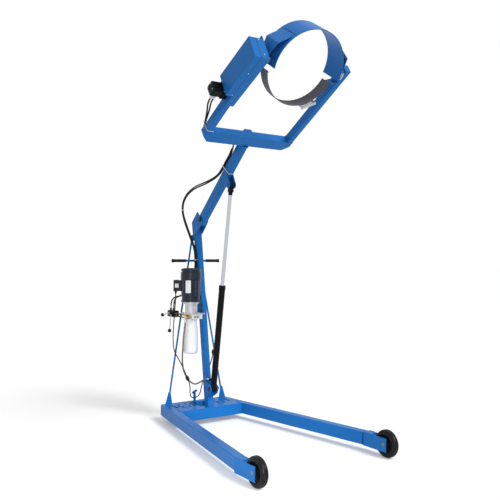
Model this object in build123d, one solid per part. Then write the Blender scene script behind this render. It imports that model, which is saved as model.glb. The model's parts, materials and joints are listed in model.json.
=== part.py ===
from build123d import *
import os
from math import asin, atan2, cos, degrees, hypot, pi, radians, sin, sqrt, tan

os.makedirs("parts", exist_ok=True)

# Hydraulic drum handler: straddle base, leaning mast, lifting boom with a yoke,
# and a drum holder that turns between the yoke arms on a chain drive.
# Millimetres, X to the right, forward is -Y, Z up from the floor.
# Lengths in Y are counted from the rear face of the base, then shifted by Y_SHIFT.

# base
REAR_WIDTH = 662
LEG_WIDTH = 76
LEG_HEIGHT = 96
LEG_WALL = 5
BASE_LOW = 50
BASE_TOP = BASE_LOW + LEG_HEIGHT
BOX_DEPTH = 325
REAR_TUBE = 50
FRONT_TUBE = 76
DECK_T = 6
WELL_HALF = 72
SLOT_AT = 84
SLOT_LEN = 110
SLOT_W = 18
LEG_END = -1700

# front wheels
WHEEL_D = 203
WHEEL_W = 50
AXLE_Y = -1843
TRACK = 1155
FORK_GAP = 62
FORK_T = 6
FORK_BACK = -1632
FORK_FRONT = -1866
FORK_LOW = 45
AXLE_D = 20
LEG_MEET = 1677
SPLAY = degrees(atan2((TRACK - REAR_WIDTH + LEG_WIDTH) / 2, LEG_MEET))

# rear swivel casters
CASTER_X = 178
CASTER_Y = -150
CASTER_D = 102
CASTER_W = 32
CASTER_TRAIL = 35

# mast and boom
LEAN = 8
MAST_W = 51
MAST_D = 64
MAST_FOOT_Y = -270
PIVOT_Y = -150
PIVOT_Z = 1784
BOOM_W = 50
BOOM_D = 88
BOOM_MID = -3
BOOM_RISE = 42.5
BOOM_TAIL = 32
TUBE_WALL = 5
TUBE_R = 8
PLATE_T = 8
PIVOT_D = 24

# lift ram
RAM_FOOT_Y = -347
RAM_FOOT_Z = 311
RAM_ALONG = 524
RAM_BELOW = 112
BARREL_D = 54
BARREL_LEN = 910
ROD_D = 32
RAM_PIN_D = 20
LIFT_TRAVEL = 86

# yoke
YOKE_RISE = 31.4
TILT_Y = -1545.5
TILT_Z = 2838.7
YOKE_REACH = 769
YOKE_HALF = 365
ARM_W = 52
ARM_H = 70
BEAM_D = 104

# tilt drive
CASE_RISE = 27.1
CASE_UP = -84
CASE_DOWN = 94
CASE_TOP = 86
PAN_END = -432
COVER_END = -330
SEAM_X = -YOKE_HALF - 69
COVER_X = SEAM_X - 53
FLANGE_OUT = 32
FLANGE_LEN = 190
PAN_BACK = 8
PAN_WALL = 5
COVER_T = 3
MOTOR_AT = -381
MOTOR_LEN = 126
PORT_X = (SEAM_X - 80, SEAM_X - 54)
CHAIN_PITCH = 19.05
DRIVE_TEETH = 11
DRIVEN_TEETH = 20
SPROCKET_X = -YOKE_HALF - 37
SPROCKET_T = 11
TILT_SHAFT_D = 35

# drum holder
DRUM_DIP = 32.7
SADDLE_R = 290
SADDLE_T = 6
SADDLE_W = 205
HUB_X = YOKE_HALF - 20
BRACKET_W = 164
STRAP_W = 102
STRAP_T = 3
STRAP_AT = -27
RATCHET_ANGLE = 297

# power unit
UNIT_X = -125
UNIT_Y = -161
MOTOR_R = 85
FAN_R = 91
RESERVOIR_R = 63
VALVE_X = -165
KNOB_R = 17
KNOB_Y = 228

# fits between moving pieces
RUN_FIT = 0.05
SIDE_GAP = 0.5

Y_SHIFT = (-AXLE_Y + WHEEL_D / 2 - KNOB_Y - KNOB_R) / 2


def save(name, *solids):
    shape = solids[0] if len(solids) == 1 else Compound(children=list(solids))
    export_step(Pos(0, Y_SHIFT, 0) * shape, f"parts/{name}.step")


def block(x0, x1, y0, y1, z0, z1):
    return Pos((x0 + x1) / 2, (y0 + y1) / 2, (z0 + z1) / 2) * Box(x1 - x0, y1 - y0, z1 - z0)


def rod_x(radius, x0, x1, y, z):
    return Pos((x0 + x1) / 2, y, z) * Rot(0, 90, 0) * Cylinder(radius, abs(x1 - x0))


def rod_z(radius, x, y, z0, z1):
    return Pos(x, y, (z0 + z1) / 2) * Cylinder(radius, z1 - z0)


def prism(plane, points, depth):
    return extrude(plane * make_face(Polyline(*points, close=True)), amount=depth, dir=plane.z_dir)


def bar(start, end, radius):
    line = Line(start, end)
    return extrude(Plane(origin=start, z_dir=line % 0) * Circle(radius), amount=line.length, dir=line % 0)


def square_tube(start, direction, length, width, depth, wall, across=(1, 0, 0)):
    plane = Plane(origin=start, x_dir=across, z_dir=direction)
    ring = RectangleRounded(width, depth, TUBE_R)
    if wall:
        ring -= RectangleRounded(width - 2 * wall, depth - 2 * wall, TUBE_R - wall)
    return extrude(plane * ring, amount=length, dir=direction)


# A sloping frame: local x runs up the member, local y to its underside, local z is +X.
def sloped(y, z, rise, x=0):
    along = (0, -cos(radians(rise)), sin(radians(rise)))
    return Plane(origin=(x, y, z), x_dir=along, z_dir=(1, 0, 0))


def place(plane, a, b, c):
    return plane.from_local_coords(Vector(a, b, c))


def slab(plane, a0, a1, b0, b1, c0, c1):
    return plane.location * block(a0, a1, b0, b1, c0, c1)


def hose(name, points, diameter):
    points = [Vector(*p) for p in points]
    radii = []
    for before, here, after in zip(points, points[1:], points[2:]):
        shorter = min((here - before).length, (after - here).length)
        turn = radians((here - before).get_angle(after - here))
        radii.append(0.45 * shorter / tan(turn / 2))
    path = FilletPolyline(*points, radius=radii)
    tube = sweep(Plane(origin=path @ 0, z_dir=path % 0) * Circle(diameter / 2), path=path)
    share = tube.volume / (pi * diameter ** 2 / 4 * path.length)
    print(name, "radii", [round(r) for r in radii], "volume share", round(share, 3))
    return tube


# base: legs, cross tubes, decks, front forks and wheels
def leg_inner(y):
    return REAR_WIDTH / 2 - LEG_WIDTH / cos(radians(SPLAY)) - y * tan(radians(SPLAY))


def leg(side):
    slope = tan(radians(SPLAY))
    start_x = REAR_WIDTH / 2 - LEG_WIDTH / 2 / cos(radians(SPLAY)) - 60 * slope
    aim = Vector(side * sin(radians(SPLAY)), -cos(radians(SPLAY)), 0)
    across = Vector(cos(radians(SPLAY)), side * sin(radians(SPLAY)), 0)
    middle = (BASE_LOW + BASE_TOP) / 2
    tube = square_tube((side * start_x, 60, middle), aim, 1900, LEG_WIDTH, LEG_HEIGHT, LEG_WALL, across)
    end = square_tube((side * start_x, 60, middle), aim, 200, LEG_WIDTH, LEG_HEIGHT, 0, across)
    tube += end & block(-800, 800, -LEG_WALL, 0, 0, 300)
    tube &= block(-800, 800, LEG_END, 0, 0, 300)
    centre = side * TRACK / 2
    keep = block(centre - FORK_GAP / 2, centre + FORK_GAP / 2, LEG_END, FORK_BACK, 0, 300)
    return tube - (block(-800, 800, LEG_END, FORK_BACK, 0, 300) - keep)


def fork(side):
    centre = side * TRACK / 2
    wide = FORK_GAP / 2 + FORK_T
    shape = block(centre - wide, centre + wide, FORK_FRONT, FORK_BACK, FORK_LOW, BASE_TOP)
    shape -= block(centre - FORK_GAP / 2, centre + FORK_GAP / 2, FORK_FRONT, FORK_BACK, 0, 300)
    inner = FORK_GAP / 2
    shape += block(centre - inner, centre + inner, LEG_END - FORK_T, LEG_END, FORK_LOW, BASE_TOP)
    return shape - rod_x(AXLE_D / 2, centre - 60, centre + 60, AXLE_Y, WHEEL_D / 2)


def axle(side):
    centre = side * TRACK / 2
    end = FORK_GAP / 2 + FORK_T
    shape = rod_x(AXLE_D / 2, centre - end, centre + end, AXLE_Y, WHEEL_D / 2)
    for way in (-1, 1):
        head = Plane(origin=(centre + way * end, AXLE_Y, WHEEL_D / 2), z_dir=(way, 0, 0))
        shape += extrude(head * Circle(14), amount=4)
    return shape


def wheel(x, y, z, diameter, width, bore):
    half = width / 2
    outer = diameter / 2
    rim = outer * 0.72
    tyre = make_face(Polyline((rim, -half), (outer, -half), (outer, half), (rim, half), close=True))
    tyre = fillet(tyre.vertices().sort_by(Axis.X)[-2:], 0.36 * width)
    hub = [(bore, -half - 3), (bore + 13, -half - 3), (bore + 13, -7), (rim - 9, -7), (rim - 9, 4 - half)]
    hub += [(rim, 4 - half), (rim, half - 4), (rim - 9, half - 4), (rim - 9, 7), (bore + 13, 7)]
    hub += [(bore + 13, half + 3), (bore, half + 3)]
    plane = Plane(origin=(x, y, z), x_dir=(0, 0, 1), z_dir=(0, 1, 0))
    axis = Axis((x, y, z), (1, 0, 0))
    return [revolve(plane * ring, axis) for ring in (tyre, make_face(Polyline(*hub, close=True)))]


for side, word in ((-1, "left"), (1, "right")):
    save(f"leg_{word}", leg(side))
    save(f"fork_{word}", fork(side))
    front = wheel(side * TRACK / 2, AXLE_Y, WHEEL_D / 2, WHEEL_D, WHEEL_W, AXLE_D / 2 + RUN_FIT)
    save(f"front_wheel_{word}", *front)


def cross_tube(y0, y1):
    ends = [(leg_inner(y0), y0), (leg_inner(y1), y1), (-leg_inner(y1), y1), (-leg_inner(y0), y0)]
    outer = prism(Plane.XY.offset(BASE_LOW), ends, LEG_HEIGHT)
    return outer - block(-800, 800, y0 + LEG_WALL, y1 - LEG_WALL, BASE_LOW + LEG_WALL, BASE_TOP - LEG_WALL)


save("cross_tubes", cross_tube(-REAR_TUBE, 0), cross_tube(-BOX_DEPTH, FRONT_TUBE - BOX_DEPTH))


def deck(side):
    y0 = FRONT_TUBE - BOX_DEPTH
    y1 = -REAR_TUBE
    corners = [(WELL_HALF, y0), (leg_inner(y0), y0), (leg_inner(y1), y1), (WELL_HALF, y1)]
    shape = prism(Plane.XY.offset(BASE_TOP - DECK_T), [(side * x, y) for x, y in corners], DECK_T)
    for offset in (-SLOT_AT, SLOT_AT):
        slot = Pos(side * (CASTER_X + offset), CASTER_Y) * SlotOverall(SLOT_LEN, SLOT_W, 90)
        shape -= extrude(Plane.XY.offset(BASE_TOP - DECK_T) * slot, amount=DECK_T)
    return shape


save("caster_decks", deck(-1), deck(1))

# rear casters: plate and race fixed to the deck, horn swivels, wheel rolls
HORN_TOP = BASE_TOP - DECK_T - 22


def caster_plate(side):
    top = BASE_TOP - DECK_T
    shape = block(side * CASTER_X - 42, side * CASTER_X + 42, CASTER_Y - 50, CASTER_Y + 50, top - 5, top)
    shape += rod_z(30, side * CASTER_X, CASTER_Y, HORN_TOP + 0.5, top - 5)
    return shape + rod_z(8, side * CASTER_X, CASTER_Y, HORN_TOP - 8, HORN_TOP + 0.5)


def caster_horn(side):
    x = side * CASTER_X
    y = CASTER_Y + CASTER_TRAIL
    z = CASTER_D / 2
    inside = CASTER_W / 2 + 5
    shape = rod_z(27, x, CASTER_Y, HORN_TOP - 5, HORN_TOP)
    shape += block(x - inside - 4, x + inside + 4, CASTER_Y - 22, y + 14, HORN_TOP - 5, HORN_TOP)
    side_view = [(CASTER_Y - 22, HORN_TOP), (y + 14, HORN_TOP), (y + 14, z - 12), (y - 14, z - 12)]
    for way in (-1, 1):
        first = x + way * (inside + 2) - 2
        shape += prism(Plane.YZ.offset(first), side_view, 4)
    shape -= rod_z(8 + RUN_FIT, x, CASTER_Y, HORN_TOP - 9, HORN_TOP + 1)
    shape -= rod_x(6, x - 40, x + 40, y, z)
    return [shape, rod_x(6, x - inside - 9, x + inside + 9, y, z)]


save("caster_plates", caster_plate(-1), caster_plate(1))
for side, word in ((-1, "left"), (1, "right")):
    save(f"caster_horn_{word}", *caster_horn(side))
    roller = wheel(side * CASTER_X, CASTER_Y + CASTER_TRAIL, CASTER_D / 2, CASTER_D, CASTER_W, 6 + RUN_FIT)
    save(f"caster_wheel_{word}", *roller)

# floor lock: sleeve on the rear tube and a screw with a T handle and foot
LOCK_X = -38
LOCK_Y = -84
LOCK_R = 11
sleeve = rod_z(LOCK_R + 9, LOCK_X, LOCK_Y, 78, 132)
sleeve += block(LOCK_X - 12, LOCK_X + 12, LOCK_Y, -REAR_TUBE, 84, 126)
save("lock_sleeve", sleeve - rod_z(LOCK_R + RUN_FIT, LOCK_X, LOCK_Y, 0, 300))
tee = rod_z(LOCK_R, LOCK_X, LOCK_Y, 34, 240) + rod_z(24, LOCK_X, LOCK_Y, 22, 34)
save("lock_screw", tee + bar((LOCK_X - 24, LOCK_Y - 10, 237), (LOCK_X + 24, LOCK_Y + 10, 251), 10))

# mast, cheeks, braces and push bar
mast_aim = Vector(0, sin(radians(LEAN)), cos(radians(LEAN)))
mast_fore = Vector(0, -cos(radians(LEAN)), sin(radians(LEAN)))
mast_foot = Vector(0, MAST_FOOT_Y, BASE_TOP)
pivot = Vector(0, PIVOT_Y, PIVOT_Z)
mast_len = (pivot - mast_foot).dot(mast_aim) - 50
pivot_ahead = (pivot - mast_foot).dot(mast_fore)


def mast_plane(centre, x):
    return Plane(origin=centre + Vector(x, 0, 0), x_dir=mast_fore, z_dir=(-1, 0, 0))


mast = square_tube(mast_foot - mast_aim * 60, mast_aim, mast_len + 60, MAST_W, MAST_D, TUBE_WALL)
save("mast", mast & block(-100, 100, -600, 600, BASE_TOP, 2500))

cheek_line = [(-40, 78), (37, -16), (-18, -64), (MAST_D / 2 - pivot_ahead, -108)]
cheek_line += [(-MAST_D / 2 - pivot_ahead, -128), (-MAST_D / 2 - 6 - pivot_ahead, 0)]


def cheek(side):
    start = side * MAST_W / 2 + (PLATE_T if side > 0 else 0)
    plate = prism(mast_plane(pivot, start), cheek_line, PLATE_T)
    return plate - rod_x(PIVOT_D / 2, -60, 60, PIVOT_Y, PIVOT_Z)


foot_ahead = (Vector(0, RAM_FOOT_Y, RAM_FOOT_Z) - mast_foot).dot(mast_fore) - MAST_D / 2
RAM_LUG_IN = BARREL_D / 2 + 3


def ram_foot():
    line = [(-foot_ahead, -70), (-foot_ahead, 70), (0, 40), (19, 14), (19, -18), (0, -44)]
    centre = Vector(0, RAM_FOOT_Y, RAM_FOOT_Z)
    shape = prism(mast_plane(centre, RAM_LUG_IN + PLATE_T), line, 2 * (RAM_LUG_IN + PLATE_T))
    gap = [(8 - foot_ahead, -90), (8 - foot_ahead, 90), (60, 90), (60, -90)]
    shape -= prism(mast_plane(centre, RAM_LUG_IN), gap, 2 * RAM_LUG_IN)
    return shape - rod_x(RAM_PIN_D / 2, -60, 60, RAM_FOOT_Y, RAM_FOOT_Z)


FOOT_PLATE_W = 55
FOOT_PLATE_H = 95
plate_line = [(MAST_D / 2, -20), (MAST_D / 2 + PLATE_T, -20), (MAST_D / 2 + PLATE_T, FOOT_PLATE_H)]
plate_line += [(MAST_D / 2, FOOT_PLATE_H)]
foot_plate = prism(mast_plane(mast_foot, FOOT_PLATE_W / 2), plate_line, FOOT_PLATE_W)
foot_plate &= block(-100, 100, -600, 600, BASE_TOP, 2500)
save("mast_brackets", cheek(-1), cheek(1), ram_foot(), foot_plate)


def pin(radius, half, y, z):
    shape = rod_x(radius, -half, half, y, z)
    for way in (-1, 1):
        end = Plane(origin=(way * half, y, z), z_dir=(way, 0, 0))
        shape += extrude(end * RegularPolygon(radius * 1.6, 6), amount=10)
    return shape


save("pins_and_axles", axle(-1), axle(1), pin(PIVOT_D / 2, MAST_W / 2 + PLATE_T, PIVOT_Y, PIVOT_Z),
     pin(RAM_PIN_D / 2, RAM_LUG_IN + PLATE_T, RAM_FOOT_Y, RAM_FOOT_Z))

BRACE_FOOT_X = 285
BRACE_FOOT_Y = -44
BRACE_HEAD_Z = 1640
BRACE_BACK = 46


def brace(side):
    head = mast_foot + mast_aim * ((BRACE_HEAD_Z - BASE_TOP) / mast_aim.Z)
    head -= mast_fore * (MAST_D / 2 + BRACE_BACK)
    head = Vector(side * (MAST_W / 2 - 8), head.Y, head.Z)
    foot = Vector(side * BRACE_FOOT_X, BRACE_FOOT_Y, BASE_TOP - 20)
    shape = bar(foot, head, 8) & block(-500, 500, -500, 500, BASE_TOP, 2500)
    gusset = [(side * (BRACE_FOOT_X + 26), BASE_TOP), (side * (BRACE_FOOT_X - 42), BASE_TOP)]
    gusset += [(side * (BRACE_FOOT_X - 26), BASE_TOP + 110), (side * (BRACE_FOOT_X - 8), BASE_TOP + 110)]
    shape += prism(Plane(origin=(0, BRACE_FOOT_Y + 4, 0), x_dir=(1, 0, 0), z_dir=(0, -1, 0)), gusset, 8)
    lug = [(-10, -35), (BRACE_BACK, -35), (BRACE_BACK, 20), (-10, 20)]
    return shape + prism(mast_plane(Vector(0, head.Y, head.Z), head.X + 6), lug, 12)


save("braces", brace(-1), brace(1))

BAR_Z = 1417
BAR_HALF = 242
BAR_R = 9.5
GRIP_R = 13.5
GRIP_IN = 105
bar_y = MAST_FOOT_Y + (BAR_Z - BASE_TOP) * tan(radians(LEAN)) + MAST_D / 2 / cos(radians(LEAN)) + 36
push_bar = rod_x(BAR_R, -BAR_HALF + 4, BAR_HALF - 4, bar_y, BAR_Z)
ahead = [(-MAST_D / 2, -100), (-MAST_D / 2, 2000), (200, 2000), (200, -100)]
clear_of_mast = prism(mast_plane(mast_foot, 100), ahead, 200)
push_bar += block(-22, 22, bar_y - 70, bar_y, BAR_Z - 12, BAR_Z + 12) - clear_of_mast
grips = []
for way in (-1, 1):
    inner = way * GRIP_IN
    outer = way * BAR_HALF
    grip = rod_x(GRIP_R, min(inner, outer), max(inner, outer), bar_y, BAR_Z)
    grip += rod_x(GRIP_R + 3, min(outer - way * 14, outer), max(outer - way * 14, outer), bar_y, BAR_Z)
    grip = fillet(grip.edges().filter_by(GeomType.CIRCLE).group_by(Axis.X)[0 if way < 0 else -1], 4)
    grips.append(grip - rod_x(BAR_R, min(inner, outer - way * 4), max(inner, outer - way * 4), bar_y, BAR_Z))
save("push_bar", push_bar)
save("grips", *grips)

# lift ram
boom = sloped(PIVOT_Y, PIVOT_Z, BOOM_RISE)
ram_head = place(boom, RAM_ALONG, RAM_BELOW, 0)
ram_base = Vector(0, RAM_FOOT_Y, RAM_FOOT_Z)
ram_open = (ram_head - ram_base).length
arm_len = hypot(RAM_ALONG, RAM_BELOW)
head_angle = asin((ram_head.Z - PIVOT_Z) / arm_len) - radians(LIFT_TRAVEL)
low_head = Vector(0, PIVOT_Y - arm_len * cos(head_angle), PIVOT_Z + arm_len * sin(head_angle))
ram_shut = (low_head - ram_base).length
ram_aim = (ram_head - ram_base).normalized()
ram = Plane(origin=ram_base, x_dir=(1, 0, 0), z_dir=ram_aim)
print("ram open", round(ram_open, 2), "shut", round(ram_shut, 2))


def ram_round(radius, t0, t1):
    return extrude(ram.offset(t0) * Circle(radius), amount=t1 - t0, dir=ram_aim)


BORE_R = 21
barrel = ram_round(BARREL_D / 2, -22, BARREL_LEN - 40) - ram_round(BORE_R, 34, BARREL_LEN)
barrel -= rod_x(RAM_PIN_D / 2 + RUN_FIT, -60, 60, RAM_FOOT_Y, RAM_FOOT_Z)
gland = ram_round(BARREL_D / 2 + 2, BARREL_LEN - 40, BARREL_LEN)
gland -= ram_round(ROD_D / 2 + RUN_FIT, 0, BARREL_LEN + 1)
port = Plane(origin=ram_base + ram_aim * 84, x_dir=ram_aim, z_dir=(-1, 0, 0))
port_boss = extrude(port * Circle(9), amount=BARREL_D / 2 + 10) - ram_round(BORE_R + 3, 0, 200)
port_tip = port.origin - Vector(BARREL_D / 2 + 14, 0, 0)
port_boss += Pos(*port_tip) * Box(20, 20, 20)
save("lift_cylinder", barrel + port_boss, gland)
ROD_END = ram_shut - 44
rod = ram_round(ROD_D / 2, ram_open - ROD_END + 28, ram_open - 40)
rod += ram_round(BORE_R - 0.1, ram_open - ROD_END, ram_open - ROD_END + 28)
save("piston_rod", rod)
EYE_R = 18
EYE_HALF = 18
eye = rod_x(EYE_R, -EYE_HALF, EYE_HALF, ram_head.Y, ram_head.Z)
eye += ram.offset(ram_open - 30).location * Box(2 * EYE_HALF, 2 * EYE_R, 60)
eye += ram_round(EYE_HALF, ram_open - 84, ram_open - 40)
eye -= ram_round(ROD_D / 2, ram_open - 90, ram_open - 40)
save("rod_eye", eye - rod_x(RAM_PIN_D / 2, -60, 60, ram_head.Y, ram_head.Z),
     rod_x(RAM_PIN_D / 2, -BOOM_W / 2 + SIDE_GAP, BOOM_W / 2 - SIDE_GAP, ram_head.Y, ram_head.Z))

# boom and yoke
yoke = sloped(TILT_Y, TILT_Z, YOKE_RISE)
case = sloped(TILT_Y, TILT_Z, CASE_RISE)
beam_face = -YOKE_REACH
beam_back = beam_face - BEAM_D
corner = BEAM_D / 2
arm_out = YOKE_HALF + ARM_W
beam_plan = [(beam_face, arm_out), (beam_face - corner, arm_out), (beam_back, arm_out - corner)]
beam_plan += [(a, -c) for a, c in reversed(beam_plan)]


def beam_solid(inset):
    plan = [(a, c) for a, c in beam_plan]
    top = Plane(origin=place(yoke, 0, inset - ARM_H / 2, 0), x_dir=yoke.x_dir, z_dir=yoke.y_dir)
    face = make_face(Polyline(*[(a, -c) for a, c in plan], close=True))
    if inset:
        face = offset(face, -inset)
    return extrude(top * face, amount=ARM_H - 2 * inset, dir=yoke.y_dir)


beam = beam_solid(0)
inner_beam = beam_solid(TUBE_WALL)
boom_len = (place(yoke, beam_face, 0, 0) - pivot).length
tail = place(boom, -BOOM_TAIL, BOOM_MID, 0)
boom_tube = square_tube(tail, boom.x_dir, boom_len + BOOM_TAIL, BOOM_W, BOOM_D, TUBE_WALL)
boom_end = square_tube(tail, boom.x_dir, boom_len + BOOM_TAIL, BOOM_W, BOOM_D, 0)
boom_tube += boom_end & slab(yoke, beam_back - TUBE_WALL, beam_back, -200, 200, -200, 200)
boom_tube -= slab(yoke, beam_back, 200, -200, 200, -200, 200)
bush = rod_x(PIVOT_D / 2 + 7, -BOOM_W / 2, BOOM_W / 2, PIVOT_Y, PIVOT_Z)
boom_tube = boom_tube + bush - rod_x(PIVOT_D / 2 + RUN_FIT, -60, 60, PIVOT_Y, PIVOT_Z)
save("boom", boom_tube)
rib = slab(yoke, beam_face - 34, beam_face, -ARM_H / 2 - 22, -ARM_H / 2, -34, 34)
save("yoke_beam", beam - inner_beam + rib)

EAR_R = 26
bracket_line = [(RAM_ALONG - 56, 10), (RAM_ALONG + 56, 10), (RAM_ALONG + EAR_R, RAM_BELOW)]
bracket_line += [(RAM_ALONG - EAR_R, RAM_BELOW)]
plates = []
for side in (-1, 1):
    first = BOOM_W / 2 if side > 0 else -BOOM_W / 2 - PLATE_T
    plate = prism(sloped(PIVOT_Y, PIVOT_Z, BOOM_RISE, first), bracket_line, PLATE_T)
    plate += rod_x(EAR_R, first, first + PLATE_T, ram_head.Y, ram_head.Z)
    cap = side * (BOOM_W / 2 + PLATE_T)
    far = cap + side * 7
    plates.append(plate + rod_x(13, min(cap, far), max(cap, far), ram_head.Y, ram_head.Z))
save("ram_bracket", *plates)


def arm(side, length):
    start = place(yoke, beam_face, 0, side * (YOKE_HALF + ARM_W / 2))
    end = start + yoke.x_dir * (length - TUBE_WALL)
    shape = square_tube(start, yoke.x_dir, length, ARM_W, ARM_H, TUBE_WALL)
    return shape + square_tube(end, yoke.x_dir, TUBE_WALL, ARM_W, ARM_H, 0)


BEARING_R = 28
right_arm = arm(1, YOKE_REACH + 62) - rod_x(BEARING_R, YOKE_HALF - 1, arm_out + 1, TILT_Y, TILT_Z)
left_arm = arm(-1, YOKE_REACH) - slab(case, PAN_END, 400, -300, 300, -700, 0)
save("yoke_arm_right", right_arm)
save("yoke_arm_left", left_arm)

# tilt drive: pan, cover, motor, bearings, sprockets and chain
pan = slab(case, PAN_END, CASE_TOP, CASE_UP, CASE_DOWN, SEAM_X, -YOKE_HALF)
pan -= slab(case, PAN_END + PAN_WALL, CASE_TOP - PAN_WALL, CASE_UP + PAN_WALL, CASE_DOWN - PAN_WALL,
            SEAM_X, -YOKE_HALF - PAN_BACK)
pan += slab(case, PAN_END, COVER_END, CASE_UP, CASE_DOWN, SEAM_X, SEAM_X + PAN_BACK)
pan += slab(case, CASE_TOP - FLANGE_LEN, CASE_TOP, CASE_UP - FLANGE_OUT, CASE_UP,
            -YOKE_HALF - PAN_BACK, -YOKE_HALF)
motor_y, motor_z = place(case, MOTOR_AT, 0, 0).Y, place(case, MOTOR_AT, 0, 0).Z
pan -= rod_x(24, SEAM_X - 1, SEAM_X + PAN_BACK + 1, motor_y, motor_z)
pan -= rod_x(BEARING_R, -YOKE_HALF - PAN_BACK - 1, -YOKE_HALF + 1, TILT_Y, TILT_Z)
save("tilt_pan", pan)

cover = slab(case, COVER_END, CASE_TOP, CASE_UP, CASE_DOWN, COVER_X, SEAM_X)
cover -= slab(case, COVER_END + COVER_T, CASE_TOP - COVER_T, CASE_UP + COVER_T, CASE_DOWN - COVER_T,
              COVER_X + COVER_T, SEAM_X)
save("tilt_cover", cover)

body = slab(case, MOTOR_AT - 49, MOTOR_AT + 49, -54, 54, SEAM_X - 40, SEAM_X)
body = chamfer(body.edges().filter_by(Axis.X), 14)
rear = slab(case, MOTOR_AT - 44, MOTOR_AT + 44, -46, 46, SEAM_X - MOTOR_LEN, SEAM_X - 40)
rear = chamfer(rear.edges().filter_by(Axis.X), 16)
body += chamfer(rear.faces().sort_by(Axis.X)[0].edges(), 8)
body -= rod_x(13, SEAM_X - 60, SEAM_X, motor_y, motor_z)
for c in PORT_X:
    boss = Plane(origin=place(case, MOTOR_AT - 44, 6, c), x_dir=(1, 0, 0), z_dir=-case.x_dir)
    body += extrude(boss * Circle(10), amount=12)
save("tilt_motor", body)

left_bearing = rod_x(46, -YOKE_HALF, -YOKE_HALF + 10, TILT_Y, TILT_Z)
left_bearing += rod_x(BEARING_R, -YOKE_HALF - PAN_BACK, -YOKE_HALF, TILT_Y, TILT_Z)
right_bearing = rod_x(46, YOKE_HALF - 10, YOKE_HALF, TILT_Y, TILT_Z)
right_bearing += rod_x(BEARING_R, YOKE_HALF, arm_out, TILT_Y, TILT_Z)
shaft_hole = rod_x(TILT_SHAFT_D / 2 + RUN_FIT, -600, 600, TILT_Y, TILT_Z)
save("tilt_bearings", left_bearing - shaft_hole, right_bearing - shaft_hole)


def pitch_radius(teeth):
    return CHAIN_PITCH / 2 / sin(pi / teeth)


def sprocket(at, teeth, turn, bore, hub):
    plane = sloped(TILT_Y, TILT_Z, CASE_RISE, SPROCKET_X - SPROCKET_T / 2)
    radius = pitch_radius(teeth)
    points = []
    for i in range(teeth):
        for step, reach in ((-0.36, -6.4), (0.36, -6.4), (0.455, 4.5), (0.545, 4.5)):
            angle = turn + 2 * pi * (i + step) / teeth
            points.append((at + (radius + reach) * cos(angle), (radius + reach) * sin(angle)))
    shape = prism(plane, points, SPROCKET_T)
    y, z = place(case, at, 0, 0).Y, place(case, at, 0, 0).Z
    shape += rod_x(hub, SPROCKET_X - 14, SPROCKET_X + 14, y, z)
    return shape - rod_x(bore, -600, 600, y, z)


R_DRIVE = pitch_radius(DRIVE_TEETH)
R_DRIVEN = pitch_radius(DRIVEN_TEETH)
lap = asin((R_DRIVEN - R_DRIVE) / -MOTOR_AT)
straight = sqrt(MOTOR_AT ** 2 - (R_DRIVEN - R_DRIVE) ** 2)
arc_driven = R_DRIVEN * (pi + 2 * lap)
arc_drive = R_DRIVE * (pi - 2 * lap)


# A point on the chain's pitch line, measured from where it leaves the driven sprocket.
def chain_point(d):
    first = pi / 2 + lap
    leave = (R_DRIVEN * cos(first), R_DRIVEN * sin(first))
    reach = (MOTOR_AT + R_DRIVE * cos(first), R_DRIVE * sin(first))
    if d < straight:
        return tuple(p + (q - p) * d / straight for p, q in zip(leave, reach))
    d -= straight
    if d < arc_drive:
        angle = first + d / R_DRIVE
        return MOTOR_AT + R_DRIVE * cos(angle), R_DRIVE * sin(angle)
    d -= arc_drive
    if d < straight:
        back = zip((reach[0], -reach[1]), (leave[0], -leave[1]))
        return tuple(p + (q - p) * d / straight for p, q in back)
    angle = -first + (d - straight) / R_DRIVEN
    return R_DRIVEN * cos(angle), R_DRIVEN * sin(angle)


loop_len = 2 * straight + arc_driven + arc_drive
links = 2 * round(loop_len / CHAIN_PITCH / 2)
joints = [chain_point(loop_len * i / links) for i in range(links)]
chain = []
for i, (p, q) in enumerate(zip(joints, joints[1:] + joints[:1])):
    near = 6 if i % 2 else 8.6
    along = Vector(q[0] - p[0], q[1] - p[1])
    unit = along.normalized()
    side = Vector(-unit.Y, unit.X)
    start = Vector(*p) - unit * 6
    stop = Vector(*q) + unit * 6
    ring = [start + side * 4, start + unit * 4 + side * 7, stop - unit * 4 + side * 7, stop + side * 4]
    ring += [stop - side * 4, stop - unit * 4 - side * 7, start + unit * 4 - side * 7, start - side * 4]
    for way in (-1, 1):
        first = SPROCKET_X + (near if way > 0 else -near - 2.4)
        chain.append(prism(sloped(TILT_Y, TILT_Z, CASE_RISE, first), [(v.X, v.Y) for v in ring], 2.4))
    centre = place(case, p[0], p[1], 0)
    chain.append(rod_x(5.5, SPROCKET_X - 5.9, SPROCKET_X + 5.9, centre.Y, centre.Z))
save("roller_chain", *chain)

first_joint = (pi / 2 + lap) - (straight / loop_len * links % 1 - 1) * 2 * pi / DRIVE_TEETH
print("chain links", links, "pitch on loop", round(loop_len / links, 3))
drive_turn = first_joint
SHAFT_R = 12.5
drive = sprocket(MOTOR_AT, DRIVE_TEETH, drive_turn, SHAFT_R, 19)
save("drive_sprocket", drive, rod_x(SHAFT_R, SEAM_X - 55, SPROCKET_X + 14, motor_y, motor_z))
save("driven_sprocket", sprocket(0, DRIVEN_TEETH, pi / 2 + lap, TILT_SHAFT_D / 2, 30))

# drum holder
holder = Plane(origin=(0, TILT_Y, TILT_Z), x_dir=(1, 0, 0),
               z_dir=(0, -cos(radians(DRUM_DIP)), -sin(radians(DRUM_DIP))))
SADDLE_OUT = SADDLE_R + SADDLE_T


def drum_round(radius, half):
    return extrude(holder.offset(-half) * Circle(radius), amount=2 * half, dir=holder.z_dir)


band = drum_round(SADDLE_OUT, SADDLE_W / 2) - drum_round(SADDLE_R, SADDLE_W / 2)
save("saddle_band", band - slab(holder, -400, 400, -400, -34, -200, 200))

BRACKET_T = 6
TAPER = 46


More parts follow.
